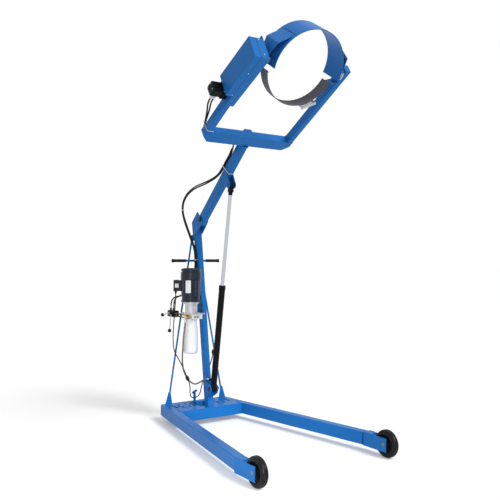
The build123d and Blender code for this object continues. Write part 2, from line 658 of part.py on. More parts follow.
def side_bracket(side):
    line = [(-200, 216), (29 - HUB_X, 138), (-HUB_X, 44), (-HUB_X, -62), (14 - SADDLE_OUT, -84)]
    flat = -HUB_X + BRACKET_T
    inside = [(-200, 208), (34 - HUB_X, 133), (flat, 43), (flat, -57), (14 - SADDLE_OUT, -78)]
    ring = [(-side * x, y) for x, y in line + inside[::-1]]
    shape = prism(holder.offset(-BRACKET_W / 2), ring, BRACKET_W)
    wide = BRACKET_W / 2
    view = [(wide, 230), (wide, 138), (TAPER, 30), (TAPER, -90)]
    view += [(-TAPER, -90), (-TAPER, 30), (-wide, 138), (-wide, 230)]
    front = Plane(origin=holder.origin - Vector(400, 0, 0), x_dir=-holder.z_dir, z_dir=(1, 0, 0))
    shape &= prism(front, view, 800)
    shape -= drum_round(SADDLE_OUT, 200)
    return shape - rod_x(30, side * HUB_X - 20, side * HUB_X + 20, TILT_Y, TILT_Z)


def tilt_shaft(side, end):
    shape = rod_x(30, min(side * 200, side * HUB_X), max(side * 200, side * HUB_X), TILT_Y, TILT_Z)
    rim = side * (HUB_X + 8)
    shape += rod_x(44, min(side * HUB_X, rim), max(side * HUB_X, rim), TILT_Y, TILT_Z)
    shape += rod_x(TILT_SHAFT_D / 2, min(side * HUB_X, end), max(side * HUB_X, end), TILT_Y, TILT_Z)
    return shape - drum_round(SADDLE_OUT, 200)


save("side_brackets", side_bracket(-1), side_bracket(1))
save("tilt_shafts", tilt_shaft(-1, SPROCKET_X - 18), tilt_shaft(1, arm_out - 4))

strap = drum_round(SADDLE_OUT, STRAP_W / 2) - drum_round(SADDLE_OUT - STRAP_T, STRAP_W / 2)
strap = Pos(*(holder.z_dir * STRAP_AT)) * strap
strap -= slab(holder, -400, 400, -76, 400, -200, 200)
save("drum_strap", strap)

# ratchet on the outside of the strap: frame fixed, handle turns on its spool
out = Vector(cos(radians(RATCHET_ANGLE)), sin(radians(RATCHET_ANGLE)), 0)
base_point = place(holder, out.X * SADDLE_OUT, out.Y * SADDLE_OUT, STRAP_AT)
outward = holder.x_dir * out.X + holder.y_dir * out.Y
ratchet = Plane(origin=base_point, x_dir=holder.z_dir, z_dir=outward)
half = STRAP_W / 2 + 4
seat = slab(ratchet, -half, half, -42, 42, -6, 4)
frame_solid = seat + slab(ratchet, -half, -half + 3, -42, 42, 0, 34)
frame_solid += slab(ratchet, half - 3, half, -42, 42, 0, 34)
SPOOL_Y = 28
spool = Plane(origin=place(ratchet, -half - 8, SPOOL_Y, 20), x_dir=ratchet.y_dir, z_dir=ratchet.x_dir)
frame_solid -= drum_round(SADDLE_OUT, 200)
frame_solid += extrude(spool * Circle(7), amount=2 * half + 16)
save("ratchet_frame", frame_solid)
handle = None
for x0 in (-half - 4, half + 1):
    cheek_plate = slab(ratchet, x0, x0 + 3, -70, SPOOL_Y + 14, 10, 30)
    handle = cheek_plate if handle is None else handle + cheek_plate
handle += slab(ratchet, -half - 4, half + 4, -88, -62, 10, 30)
save("ratchet_handle", handle - extrude(spool * Circle(7 + RUN_FIT), amount=2 * half + 16))

# power unit
motor = rod_z(MOTOR_R, UNIT_X, UNIT_Y, 1112, 1252) + rod_z(MOTOR_R - 4, UNIT_X, UNIT_Y, 1068, 1112)
motor += rod_z(MOTOR_R + 2, UNIT_X, UNIT_Y, 1058, 1068)
save("electric_motor", motor)
cap = rod_z(FAN_R - 3, UNIT_X, UNIT_Y, 1326, 1350)
cap = fillet(cap.edges().sort_by(Axis.Z)[-1], 10)
fan = rod_z(FAN_R, UNIT_X, UNIT_Y, 1252, 1318) + rod_z(FAN_R - 10, UNIT_X, UNIT_Y, 1318, 1326)
save("fan_cover", fan + cap)

box_turn = Pos(UNIT_X, UNIT_Y, 0) * Rot(0, 0, 128)
junction = box_turn * block(60, 146, -42, 42, 1150, 1246)
capacitor = Pos(UNIT_X, UNIT_Y - MOTOR_R - 4, 0) * rod_z(25, 0, 0, 1108, 1250)
keep_out = rod_z(MOTOR_R, UNIT_X, UNIT_Y, 1000, 1400)
save("motor_boxes", junction - keep_out, capacitor - keep_out)

save("pump_adapter", rod_z(50, UNIT_X, UNIT_Y, 958, 1042) + rod_z(72, UNIT_X, UNIT_Y, 1042, 1058))
MANIFOLD = (-152, -50, -236, -128)
save("manifold", block(*MANIFOLD, 908, 950))
tank = rod_z(RESERVOIR_R, UNIT_X, UNIT_Y, 600, 838)
tank = fillet(tank.edges().sort_by(Axis.Z)[0], 26)
tank = fillet(tank.edges().sort_by(Axis.Z)[-1], 10)
tank += rod_z(54, UNIT_X, UNIT_Y, 830, 908)
save("reservoir", tank)

shelf_edge = -MAST_W / 2
mast_y = MAST_FOOT_Y + (1000 - BASE_TOP) * tan(radians(LEAN))
carrier = block(-186, shelf_edge, -240, -86, 950, 958)
carrier += block(shelf_edge - PLATE_T, shelf_edge, mast_y - 60, mast_y + 40, 950, 1046)
save("unit_bracket", carrier)

# valve, levers and fittings
VALVE_Y = (40, 150)
VALVE_Z = (905, 965)
valve = block(VALVE_X - 30, VALVE_X + 30, *VALVE_Y, *VALVE_Z)
valve = fillet(valve.edges().filter_by(Axis.Y), 15)
LIFT_PIVOT = (100, 940)
TILT_PIVOT = (62, 922)
for y, z in (LIFT_PIVOT, TILT_PIVOT):
    valve += rod_x(13, VALVE_X - 34, VALVE_X - 20, y, z) + rod_x(5, VALVE_X - 46, VALVE_X - 30, y, z)
save("valve_body", valve)
LEVER_IN = VALVE_X - 34 - SIDE_GAP


def lever(pivot_at, knob_at):
    y, z = pivot_at
    middle = LEVER_IN - 5
    eye = rod_x(11, LEVER_IN - 10, LEVER_IN, y, z) + bar((middle, y, z), (middle, *knob_at), 4.5)
    eye -= rod_x(5 + RUN_FIT, -600, 0, y, z)
    ball = Pos(middle, *knob_at) * Sphere(KNOB_R)
    return [eye - ball, ball]


save("lift_lever", *lever(LIFT_PIVOT, (KNOB_Y, 915)))
save("tilt_lever", *lever(TILT_PIVOT, (88, 783)))

fittings = []
PIPE_X = -171
for z in (918, 940):
    elbow_y = MANIFOLD[3] - 24
    pipe = bar((PIPE_X, elbow_y, z), (PIPE_X, VALVE_Y[0], z), 6)
    pipe += rod_x(6, PIPE_X, MANIFOLD[0], elbow_y, z) + Pos(PIPE_X, elbow_y, z) * Box(20, 20, 20)
    nut = Plane(origin=(PIPE_X, VALVE_Y[0], z), z_dir=(0, -1, 0))
    pipe += extrude(nut * RegularPolygon(10.5, 6), amount=24)
    fittings.append(pipe)
HOSE_D = 13
VALVE_PORTS = [(-180, 112, VALVE_Z[1]), (-150, 112, VALVE_Z[1])]
for x, y, z in VALVE_PORTS:
    fittings.append(extrude(Plane(origin=(x, y, z - 8)) * RegularPolygon(11, 6), amount=28) - valve)
LIFT_ELBOW = (-204, -205, 928)
elbow = Pos(*LIFT_ELBOW) * Box(20, 20, 20) + rod_x(7, LIFT_ELBOW[0], MANIFOLD[0], *LIFT_ELBOW[1:])
save("brass_fittings", *fittings, elbow)

# hoses and cord
mast_side = -MAST_W / 2 - HOSE_D / 2 - 0.5


def beside_mast(z, back):
    return (mast_side, MAST_FOOT_Y + (z - BASE_TOP) * tan(radians(LEAN)) + back, z)


LOOP_START = 1460
runs = []
bends = [[(-150, 58, 1088), (-146, -15, 1100), (-118, -54, 1122), (-82, -58, 1182), (-50, -72, 1280)],
         [(-178, 46, 1090), (-168, -30, 1100), (-134, -65, 1124), (-92, -70, 1184), (-54, -86, 1284)]]
for (x, y, z), bend, back in zip(reversed(VALVE_PORTS), bends, (22, 6)):
    route = [(x, y, z + 20), (x, y, z + 80)] + bend
    route += [beside_mast(1375, back), beside_mast(LOOP_START, back)]
    runs.append(hose("mast hose", route, HOSE_D))
save("mast_hoses", *runs)

# loop: the two hoses run side by side, the outer one 8 mm outside the middle line
boom_top = BOOM_MID - BOOM_D / 2 - HOSE_D / 2 - 0.5
ON_BOOM = (-BOOM_W / 2 - 6, -BOOM_W / 2 + 7.5)
loop_line = [(-40, -13, 1606, 7, -4), (-46, 88, 1752, 7, -4), (-50, 154, 1880, 8, 0), (-50, 114, 1993, 6, 5)]
loop_line += [(-47, -48, 2073, 3, 8), (-42, -282, 2101, 1, 8)]
loops = []
for back, across, way in ((22, ON_BOOM[0], 1), (6, ON_BOOM[1], -1)):
    route = [beside_mast(LOOP_START, back), beside_mast(LOOP_START + 56, back)]
    route += [(x, y + way * dy, z + way * dz) for x, y, z, dy, dz in loop_line]
    route += [place(boom, 470, boom_top - 8, across - 1), place(boom, 560, boom_top, across)]
    route += [place(boom, 610, boom_top, across)]
    loops.append(hose("loop", [tuple(p) for p in route], HOSE_D))
save("hose_loop", *loops)

feeds = []
port_ends = [place(case, MOTOR_AT - 56, 6, c) for c in PORT_X]
turns = [[(716, boom_top - 2, -33), (768, boom_top + 2, -44), (816, -30, -54)],
         [(722, boom_top - 3, -19), (776, boom_top - 8, -30), (826, -46, -52)]]
overs = [[(-883, -22, 107), (-868, -46, 55), (-800, -47, 17), (-720, -47, -7), (-620, -52, -41)],
         [(-884, -40, 107), (-860, -62, 55), (-795, -63, 25), (-715, -61, 5), (-595, -55, -28)]]
for port_end, across, turn, lift, over in zip(port_ends, ON_BOOM, turns, (4, -13), overs):
    back = beam_back - HOSE_D / 2 - 2
    route = [place(boom, 610, boom_top, across), place(boom, 660, boom_top, across)]
    route += [place(boom, *p) for p in turn]
    route += [place(yoke, back - 1, -10 + lift, -100), place(yoke, back, lift, -0.59 * YOKE_HALF)]
    route += [place(yoke, a, b, c - arm_out) for a, b, c in over]
    route += [port_end - case.x_dir * 75, port_end]
    feeds.append(hose("boom hose", [tuple(p) for p in route], HOSE_D))
save("boom_hoses", *feeds)

LIFT_HOSE_D = 14
route = [(*LIFT_ELBOW[:2], LIFT_ELBOW[2] - 10), (*LIFT_ELBOW[:2], 862), (-213, -192, 765)]
route += [(-208, -172, 655), (-188, -122, 540), (-152, -86, 430), (-106, -94, 352), (-82, -150, 322)]
route += [(-76, -222, 346), tuple(port_tip + Vector(0, 70, 0)), tuple(port_tip + Vector(0, 10, 0))]
save("lift_hose", hose("lift hose", route, LIFT_HOSE_D))

CORD_D = 9
route = [(-217, -50, 1150), (-217, -50, 1080), (-224, -44, 960), (-222, -22, 840), (-218, -6, 730)]
route += [(-214, -10, 625), (-208, -78, 560), (-198, -150, 495), (-185, -196, 420)]
save("power_cord", hose("cord", route, CORD_D))


def onward(points, length):
    last = Vector(*points[-1])
    return last + (last - Vector(*points[-2])).normalized() * length


joint_end = onward(route, 53)
plug = bar(route[-1], tuple(joint_end), 17)
route = [tuple(joint_end), tuple(onward(route, 87)), (-162, -232, 286), (-136, -206, 228)]
route += [(-110.6, -204, 219), (-85, -207, 227), (-51, -211, 277), (-22, -196, 350), (24, -186, 420)]
route += [(58, -200, 500), (64, -224, 580)]
save("cord_tail", hose("tail", route, CORD_D))
save("cord_plugs", plug, bar(route[-1], tuple(onward(route, 52)), 16))
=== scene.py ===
import json
from math import cos, hypot, pi, radians, sin, tan

import bmesh
import bpy
from mathutils import Matrix, Vector


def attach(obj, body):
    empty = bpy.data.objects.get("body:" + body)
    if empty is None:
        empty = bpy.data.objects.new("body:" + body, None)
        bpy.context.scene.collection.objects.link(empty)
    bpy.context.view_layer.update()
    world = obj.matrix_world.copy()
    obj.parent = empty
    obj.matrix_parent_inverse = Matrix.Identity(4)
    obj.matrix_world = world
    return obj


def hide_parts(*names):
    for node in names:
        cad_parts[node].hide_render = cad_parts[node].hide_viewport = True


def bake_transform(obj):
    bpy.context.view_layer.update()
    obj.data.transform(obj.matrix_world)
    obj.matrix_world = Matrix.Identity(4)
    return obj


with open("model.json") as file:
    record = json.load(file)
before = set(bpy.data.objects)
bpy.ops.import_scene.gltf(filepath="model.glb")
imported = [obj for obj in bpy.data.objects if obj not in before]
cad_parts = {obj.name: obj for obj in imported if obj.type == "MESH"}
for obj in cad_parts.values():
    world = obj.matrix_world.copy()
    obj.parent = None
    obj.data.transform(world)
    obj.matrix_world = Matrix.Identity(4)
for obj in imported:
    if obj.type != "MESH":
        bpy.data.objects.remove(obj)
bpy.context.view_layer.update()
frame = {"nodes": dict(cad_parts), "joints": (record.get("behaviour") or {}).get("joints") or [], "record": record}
joint = {j["name"]: j for j in frame["joints"]}

# Anchors read from the frame. Lengths below are millimetres, counted as in the part's source:
# X to the right, Y from the rear face of the base, forward is -Y, Z up.
MM = 0.001
PIVOT_Y = -150
X_AXIS = Vector((1, 0, 0))
LEFT = Vector((-1, 0, 0))
FORWARD = Vector((0, -1, 0))
BACKWARD = Vector((0, 1, 0))
UP = Vector((0, 0, 1))
DOWN = Vector((0, 0, -1))
SIDES = (-1, 1)
pivot = Vector(joint["boom_lift"]["pos_m"])
tilt = Vector(joint["drum_tilt"]["pos_m"])
ram_foot = Vector(joint["cylinder_swing"]["pos_m"])
ram_rod = Vector(joint["rod_slide"]["axis"])
# How far the frame's origin lies from the source's.
shift = Vector((0, pivot.y - PIVOT_Y * MM, 0))

# Slopes of the members in degrees, and where the mast stands.
LEAN = 8
BOOM_RISE = 42.5
YOKE_RISE = 31.4
CASE_RISE = 27.1
DRUM_DIP = 32.7
SPLAY = 9.626
MAST_FOOT_Y = -270
BASE_TOP = 146


def spot(x, y, z):
    return Vector((x, y, z)) * MM + shift


# A frame from its origin and its three axes.
def axes(origin, x, y, z):
    turn = Matrix((x, y, z)).transposed().to_4x4()
    turn.translation = origin
    return turn


# A frame on a sloping member: a runs up the member, b to its underside or front, c to +X.
def sloped(origin, rise):
    along = Vector((0, -cos(radians(rise)), sin(radians(rise))))
    under = Vector((0, -sin(radians(rise)), -cos(radians(rise))))
    return axes(origin, along, under, X_AXIS)


# The drum holder's frame: +X, up across the drum, and down the drum's axis.
def drum_frame():
    axis = Vector((0, -cos(radians(DRUM_DIP)), -sin(radians(DRUM_DIP))))
    return axes(tilt, X_AXIS, axis.cross(X_AXIS), axis)


boom = sloped(pivot, BOOM_RISE)
yoke = sloped(tilt, YOKE_RISE)
case = sloped(tilt, CASE_RISE)
mast = sloped(spot(0, MAST_FOOT_Y, BASE_TOP), 90 + LEAN)
holder = drum_frame()


def on(member, a, b, c):
    return member @ (Vector((a, b, c)) * MM)


def turned(member, a, b, c):
    return member.to_3x3() @ Vector((a, b, c))


def moved(member, x, y=0, z=0):
    return member @ Matrix.Translation(Vector((x, y, z)) * MM)


# A frame whose z axis points along a direction.
def facing(origin, direction):
    turn = Vector(direction).to_track_quat("Z", "Y").to_matrix().to_4x4()
    turn.translation = origin
    return turn


# The y of the mast's middle line at a height.
def mast_y(z):
    return MAST_FOOT_Y + (z - BASE_TOP) * tan(radians(LEAN))


# The four corners of a pattern, by its half sizes.
def four(half_x, half_y):
    return [(x, y) for x in (-half_x, half_x) for y in (-half_y, half_y)]


# Four places on a circle, by its radius and the turn of the first.
def four_round(radius, first=0.0):
    turns = [first + i * pi / 2 for i in range(4)]
    return [(radius * cos(t), radius * sin(t)) for t in turns]


# camera: fitted to the photograph, which is 500 pixels square
PHOTO = 500
FOCAL_PIXELS = 662.93
CAMERA_AT = (-2986.1, -5285.9, 1475.1)
YAW = 34.24
PITCH = 0.40
ROLL = -0.35
SENSOR = 36


def make_camera():
    yaw, pitch, roll = radians(YAW), radians(PITCH), radians(ROLL)
    ahead = Vector((sin(yaw) * cos(pitch), cos(yaw) * cos(pitch), sin(pitch)))
    right = Vector((cos(yaw), -sin(yaw), 0))
    down = ahead.cross(right)
    turned_right = cos(roll) * right + sin(roll) * down
    turned_down = cos(roll) * down - sin(roll) * right
    data = bpy.data.cameras.new("camera")
    data.sensor_width = SENSOR
    data.lens = FOCAL_PIXELS / PHOTO * SENSOR
    camera = bpy.data.objects.new("camera", data)
    camera.matrix_world = axes(spot(*CAMERA_AT), turned_right, -turned_down, -ahead)
    bpy.context.scene.collection.objects.link(camera)
    bpy.context.scene.camera = camera


make_camera()

# materials
TONE_DETAIL = 3.0
SKIN_DETAIL = 2.0
TONE_ENDS = (0.3, 0.7)


def shader(name, colour, rough, metallic=0.0, specular=0.5):
    material = bpy.data.materials.new(name)
    material.use_nodes = True
    bsdf = main_node(material)
    bsdf.inputs["Base Color"].default_value = (*colour, 1)
    bsdf.inputs["Roughness"].default_value = rough
    bsdf.inputs["Metallic"].default_value = metallic
    bsdf.inputs["Specular IOR Level"].default_value = specular
    return material


def add(material, kind, **values):
    node = material.node_tree.nodes.new(kind)
    for key, value in values.items():
        setattr(node, key, value)
    return node


def link(material, a, b):
    material.node_tree.links.new(a, b)


def main_node(material):
    return material.node_tree.nodes["Principled BSDF"]


def place_coords(material):
    return add(material, "ShaderNodeTexCoord").outputs["Object"]


def noise(material, scale, detail):
    texture = add(material, "ShaderNodeTexNoise")
    texture.inputs["Scale"].default_value = scale
    texture.inputs["Detail"].default_value = detail
    link(material, place_coords(material), texture.inputs["Vector"])
    return texture.outputs["Fac"]


# Colour wanders between two tones round the given one, as paint and castings do.
def mottle(material, scale, spread):
    colour = main_node(material).inputs["Base Color"].default_value[:3]
    ramp = add(material, "ShaderNodeValToRGB")
    for stop, position, share in zip(ramp.color_ramp.elements, TONE_ENDS, (1 - spread, 1 + spread)):
        stop.position = position
        stop.color = (*[c * share for c in colour], 1)
    link(material, noise(material, scale, TONE_DETAIL), ramp.inputs["Fac"])
    link(material, ramp.outputs["Color"], main_node(material).inputs["Base Color"])


# Roughness wanders between two values.
def wander(material, scale, low, high):
    spread = add(material, "ShaderNodeMapRange")
    spread.inputs["To Min"].default_value = low
    spread.inputs["To Max"].default_value = high
    link(material, noise(material, scale, TONE_DETAIL), spread.inputs["Value"])
    link(material, spread.outputs["Result"], main_node(material).inputs["Roughness"])


def grain(material, height, strength, depth):
    bump = add(material, "ShaderNodeBump")
    bump.inputs["Strength"].default_value = strength
    bump.inputs["Distance"].default_value = depth
    link(material, height, bump.inputs["Height"])
    link(material, bump.outputs["Normal"], main_node(material).inputs["Normal"])


# tone is the colour's scale and spread, sheen the roughness's scale and its two values,
# skin the bump's scale, strength and depth in metres.
def finish(name, colour, rough, metallic=0.0, specular=0.5,
           tone=(8, 0.06), sheen=None, skin=(400, 0.15, 0.0005)):
    material = shader(name, colour, rough, metallic, specular)
    mottle(material, *tone)
    if sheen:
        wander(material, *sheen)
    if skin:
        scale, strength, depth = skin
        grain(material, noise(material, scale, SKIN_DETAIL), strength, depth)
    return material


def webbing():
    material = shader("webbing", (0.165, 0.160, 0.170), 0.80, specular=0.15)
    mottle(material, scale=20, spread=0.08)
    weave = add(material, "ShaderNodeTexWave", bands_direction="X")
    weave.inputs["Scale"].default_value = 220
    weave.inputs["Distortion"].default_value = 1.5
    link(material, place_coords(material), weave.inputs["Vector"])
    grain(material, weave.outputs["Fac"], strength=0.2, depth=0.0004)
    return material


BLUE = (0.010, 0.150, 0.470)
# One look for each material slot of the record.
SLOTS = {
    "blue_paint": dict(colour=BLUE, rough=0.36, specular=0.12, tone=(2.5, 0.06), sheen=(14, 0.30, 0.44),
                       skin=(260, 0.05, 0.0005)),
    "black_paint": dict(colour=(0.007, 0.0075, 0.008), rough=0.30, specular=0.06, sheen=(22, 0.24, 0.36)),
    "motor_paint": dict(colour=(0.014, 0.020, 0.038), rough=0.22, specular=0.25, sheen=(18, 0.16, 0.26)),
    "pump_alloy": dict(colour=(0.80, 0.80, 0.82), rough=0.40, metallic=0.35, sheen=(40, 0.32, 0.48),
                       skin=(500, 0.2, 0.0005)),
    "white_plastic": dict(colour=(0.86, 0.87, 0.88), rough=0.40, tone=(6, 0.02), skin=(60, 0.05, 0.0006)),
    "chrome": dict(colour=(0.52, 0.54, 0.58), rough=0.08, metallic=1.0, tone=(20, 0.02),
                   sheen=(30, 0.06, 0.12), skin=None),
    "steel": dict(colour=(0.48, 0.49, 0.51), rough=0.34, metallic=1.0, sheen=(60, 0.26, 0.44)),
    "brass": dict(colour=(0.70, 0.48, 0.17), rough=0.30, metallic=1.0, sheen=(60, 0.22, 0.38)),
    "tyre": dict(colour=(0.008, 0.008, 0.0085), rough=0.26, specular=0.16, tone=(30, 0.2),
                 sheen=(16, 0.20, 0.34)),
    "rubber": dict(colour=(0.007, 0.007, 0.0075), rough=0.30, specular=0.14, skin=(700, 0.15, 0.0004)),
    "black_plastic": dict(colour=(0.009, 0.009, 0.010), rough=0.26, specular=0.2, sheen=(25, 0.20, 0.32)),
}
LOOKS = {slot: finish(slot, **values) for slot, values in SLOTS.items()}
LOOKS["webbing"] = webbing()

# Looks for single pieces and for part of a node.
WELD_SHADE = 0.92
WELD = finish("weld_paint", [c * WELD_SHADE for c in BLUE], 0.42, specular=0.3, skin=(190, 0.5, 0.0015))
TIE = finish("tie_nylon", (0.78, 0.80, 0.80), 0.45, tone=(50, 0.04))
GREY_RUBBER = finish("lift_rubber", (0.165, 0.150, 0.130), 0.34, tone=(40, 0.12), skin=(600, 0.2, 0.0004))
PLATE = finish("bare_plate", (0.88, 0.89, 0.91), 0.32, tone=(12, 0.03), skin=(300, 0.08, 0.0003))
DARK = finish("dark_steel", (0.030, 0.029, 0.028), 0.45, metallic=0.6, tone=(60, 0.3))
DULL = finish("dull_steel", (0.190, 0.172, 0.155), 0.50, metallic=0.4, tone=(60, 0.15))
CAST = finish("cast_alloy", (0.56, 0.56, 0.58), 0.38, metallic=0.5, tone=(30, 0.08), sheen=(40, 0.30, 0.48))
THREAD = finish("thread", (0.42, 0.43, 0.44), 0.75, tone=(80, 0.1))

# CAD nodes
SHARP = radians(35)
EDGE = {"blue_paint": 1.6, "pump_alloy": 1.2, "black_paint": 1.2, "motor_paint": 1.2}
WELD_GAP = 0.01
# Pierced plates and thin forms, which a bevel would tear.
KEEP_EDGES = {"caster_decks", "fork_left", "fork_right", "lift_cylinder", "mast_brackets", "rod_eye",
              "tilt_pan"}


def smooth(mesh):
    mesh.polygons.foreach_set("use_smooth", [True] * len(mesh.polygons))


def soften(piece, width):
    bevel = piece.modifiers.new("edge", "BEVEL")
    bevel.width = width * MM
    bevel.segments = 2
    bevel.limit_method = "ANGLE"
    bevel.angle_limit = SHARP
    normals = piece.modifiers.new("normals", "WEIGHTED_NORMAL")
    normals.keep_sharp = True


# CAD nodes take the look of their slot, and painted plates and tubes get a soft edge.
def dress_nodes():
    for sub in frame["record"]["subparts"]:
        node = frame["nodes"][sub["node"]]
        look = sub["material_slot"]
        node.data.materials.clear()
        node.data.materials.append(LOOKS[look])
        smooth(node.data)
        if look in EDGE and sub["node"] not in KEEP_EDGES:
            weld = node.modifiers.new("weld", "WELD")
            weld.merge_threshold = WELD_GAP * MM
            soften(node, EDGE[look])


# Gives another look to the faces of a node whose middles pass a test, in the source's millimetres.
def paint(name, look, wanted):
    mesh = frame["nodes"][name].data
    mesh.materials.append(look)
    for face in mesh.polygons:
        if wanted((face.center - shift) / MM):
            face.material_index = len(mesh.materials) - 1


KNOB_R = 17
KNOB_ROOM = 0.5
VALVE_X = -165
LEVER_X = VALVE_X - 39.5
KNOBS = {"lift_lever": (LEVER_X, 228, 915), "tilt_lever": (LEVER_X, 88, 783)}

# Among the fittings the two pipes and the valve's hose stubs are dark steel; nuts and elbows are brass.
PIPE_FROM_Y = -140
NUT_Y = 16
STUB_Y = 90


def dark_fitting(at):
    return PIPE_FROM_Y < at.y < NUT_Y or at.y > STUB_Y


# The front axles lie ahead of this, and the carrier's cast shelf lies within these.
AHEAD_OF_Y = -1000
SHELF_LOW = 949
SHELF_HIGH = 959
SHELF_RIGHT = -34

dress_nodes()
for name, knob in KNOBS.items():
    paint(name, LOOKS["black_plastic"], lambda at: (at - Vector(knob)).length < KNOB_R + KNOB_ROOM)
paint("brass_fittings", DARK, dark_fitting)
paint("pins_and_axles", DARK, lambda at: at.y > AHEAD_OF_Y)
paint("pins_and_axles", DULL, lambda at: at.y < AHEAD_OF_Y)
paint("pump_adapter", CAST, lambda at: True)
paint("unit_bracket", CAST, lambda at: SHELF_LOW < at.z < SHELF_HIGH and at.x < SHELF_RIGHT)


# pieces
def finish_piece(name, mesh, material, body):
    mesh.materials.append(material)
    smooth(mesh)
    mesh.set_sharp_from_angle(angle=SHARP)
    piece = bpy.data.objects.new(name, mesh)
    bpy.context.scene.collection.objects.link(piece)
    if body:
        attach(piece, body)
    return piece


def solid(name, build, material, body):
    form = bmesh.new()
    build(form)
    bmesh.ops.recalc_face_normals(form, faces=form.faces)
    mesh = bpy.data.meshes.new(name)
    form.to_mesh(mesh)
    form.free()
    return finish_piece(name, mesh, material, body)


# Faces between neighbouring rings of points. A ring of one point makes a tip.
def rings_to_faces(form, rings, steps):
    for low, high in zip(rings, rings[1:]):
        for i in range(steps):
            j = (i + 1) % steps
            corners = [low[i % len(low)], low[j % len(low)], high[j % len(high)], high[i % len(high)]]
            form.faces.new(list(dict.fromkeys(corners)))


# A turned form: (radius, height) pairs in millimetres, spun about the frame's z axis.
def lathe(form, where, profile, steps=32):
    rings = []
    for radius, height in profile:
        count = 1 if radius == 0 else steps
        angles = [2 * pi * i / count for i in range(count)]
        rings.append([form.verts.new(on(where, radius * cos(t), radius * sin(t), height)) for t in angles])
    rings_to_faces(form, rings, steps)


# A slab with its top edges eased: half sizes across, bottom, top, and how far the edges are eased.
# STITCH, SPOKE, LID and BOX_PLATE further down are such sizes, in this order.
def pad(form, where, half_x, half_y, low, high, ease=1.0):
    rings = []
    for inset, height in ((0, low), (0, high - ease), (ease, high)):
        x, y = half_x - inset, half_y - inset
        corners = ((x, y), (-x, y), (-x, -y), (x, -y))
        rings.append([form.verts.new(on(where, a, b, height)) for a, b in corners])
    rings_to_faces(form, rings, 4)
    form.faces.new(rings[0])
    form.faces.new(rings[-1])


# Fastener heads start a little inside the face they sit on.
SUNK = -1
# Round heads: radius and height, as shares of the head's radius.
ROUND_FORM = [(1, 0.35), (0.7, 0.72), (0, 0.78)]
CAP_FORM = [(1, 1.1), (0.85, 1.3), (0.5, 1.3), (0.5, 0.6), (0, 0.6)]
# Hexagon heads: two heights in millimetres, three shares of the size across, and what the chamfer leaves.
WASHER_T = 1.5
HEX_FOOT = 1
WASHER_R = 0.72
HEX_SIDE = 0.5
HEX_TOP = 0.62
HEX_CHAMFER = 0.8


def hex_head(form, where, across):
    washer = across * WASHER_R
    point = across / 2 / cos(pi / 6)
    side, top = across * HEX_SIDE, across * HEX_TOP
    lathe(form, where, [(0, SUNK), (washer, SUNK), (washer, WASHER_T), (0, WASHER_T)], 20)
    lathe(form, where, [(0, HEX_FOOT), (point, HEX_FOOT), (point, side), (point * HEX_CHAMFER, top),
                        (0, top)], 6)


def turned_head(form, where, radius, shape, steps):
    lathe(form, where, [(0, SUNK), (radius, SUNK)] + [(radius * r, radius * h) for r, h in shape], steps)


def round_head(form, where, across):
    turned_head(form, where, across / 2, ROUND_FORM, 16)


def cap_screw(form, where, across):
    turned_head(form, where, across / 2, CAP_FORM, 12)


# One piece of like fasteners: (place, direction, size across).
def fasteners(name, head, body, places, look=None, slot="steel"):
    def build(form):
        for at, direction, across in places:
            head(form, facing(at, direction), across)
    solid(name, build, look or LOOKS[slot], body)


# A weld bead: ripples along a straight run. Each has a crest and a dip, as shares of the bead's radius
# and of the ripple's length.
RIPPLE = 5
CREST_AND_DIP = ((1.08, 0.25), (0.88, 0.85))


def bead(form, start, end, radius):
    run = end - start
    length = run.length / MM
    count = max(3, round(length / RIPPLE))
    profile = [(0, 0)]
    for i in range(count):
        profile += [(radius * out, length * (i + share) / count) for out, share in CREST_AND_DIP]
    lathe(form, facing(start, run), profile + [(0, length)], 8)


# One piece of welds: each line is a radius and the points that it runs through.
def welds(name, body, lines):
    def build(form):
        for radius, *points in lines:
            for start, end in zip(points, points[1:]):
                bead(form, start, end, radius)
    solid(name, build, WELD, body)


# A cable tie: a closed band round the given (y, z) outline of a frame, with its lock.
TIE_W = 5
TIE_T = 1.6
LOCK_HALF = (4, 4, 3.5)


def tie(form, where, outline, lock):
    middle_y, middle_z = [sum(p[i] for p in outline) / len(outline) for i in (0, 1)]
    half = TIE_W / 2
    rings = []
    for x, grow in ((-half, 0), (-half, TIE_T), (half, TIE_T), (half, 0)):
        ring = []
        for y, z in outline:
            scale = 1 + grow / hypot(y - middle_y, z - middle_z)
            corner = (x, middle_y + (y - middle_y) * scale, middle_z + (z - middle_z) * scale)
            ring.append(form.verts.new(on(where, *corner)))
        rings.append(ring)
    rings_to_faces(form, rings + rings[:1], len(outline))
    half_x, half_y, half_z = LOCK_HALF
    pad(form, moved(where, 0, *outline[lock]), half_x, half_y, -half_z, half_z)


# One piece of ties: (member, place along it, outline, corner with the lock).
def ties(name, body, places):
    def build(form):
        for member, along, outline, lock in places:
            tie(form, moved(member, along), outline, lock)
    solid(name, build, TIE, body)


# hoses and cord
HOSE_D = 13
LIFT_HOSE_D = 14
CORD_D = 9
HOSE_ROOM = 0.5


def nurbs_line(name, points):
    curve = bpy.data.curves.new(name, "CURVE")
    curve.dimensions = "3D"
    spline = curve.splines.new("NURBS")
    spline.points.add(len(points) - 1)
    for target, point in zip(spline.points, points):
        target.co = (*point, 1)
    spline.order_u = 3
    spline.use_endpoint_u = True
    spline.resolution_u = 10
    line = bpy.data.objects.new(name, curve)
    bpy.context.scene.collection.objects.link(line)
    return line


def path_of(line):
    mesh = bpy.data.meshes.new_from_object(line)
    points = [v.co.copy() for v in mesh.vertices]
    bpy.data.meshes.remove(mesh)
    return points


# The inner point of a path that is nearest to a height.
def index_at(path, z):
    return min(range(1, len(path) - 1), key=lambda i: abs(path[i].z - z * MM))


def thicken(line, diameter):
    line.data.bevel_depth = diameter / 2 * MM
    line.data.bevel_resolution = 4
    line.data.use_fill_caps = True


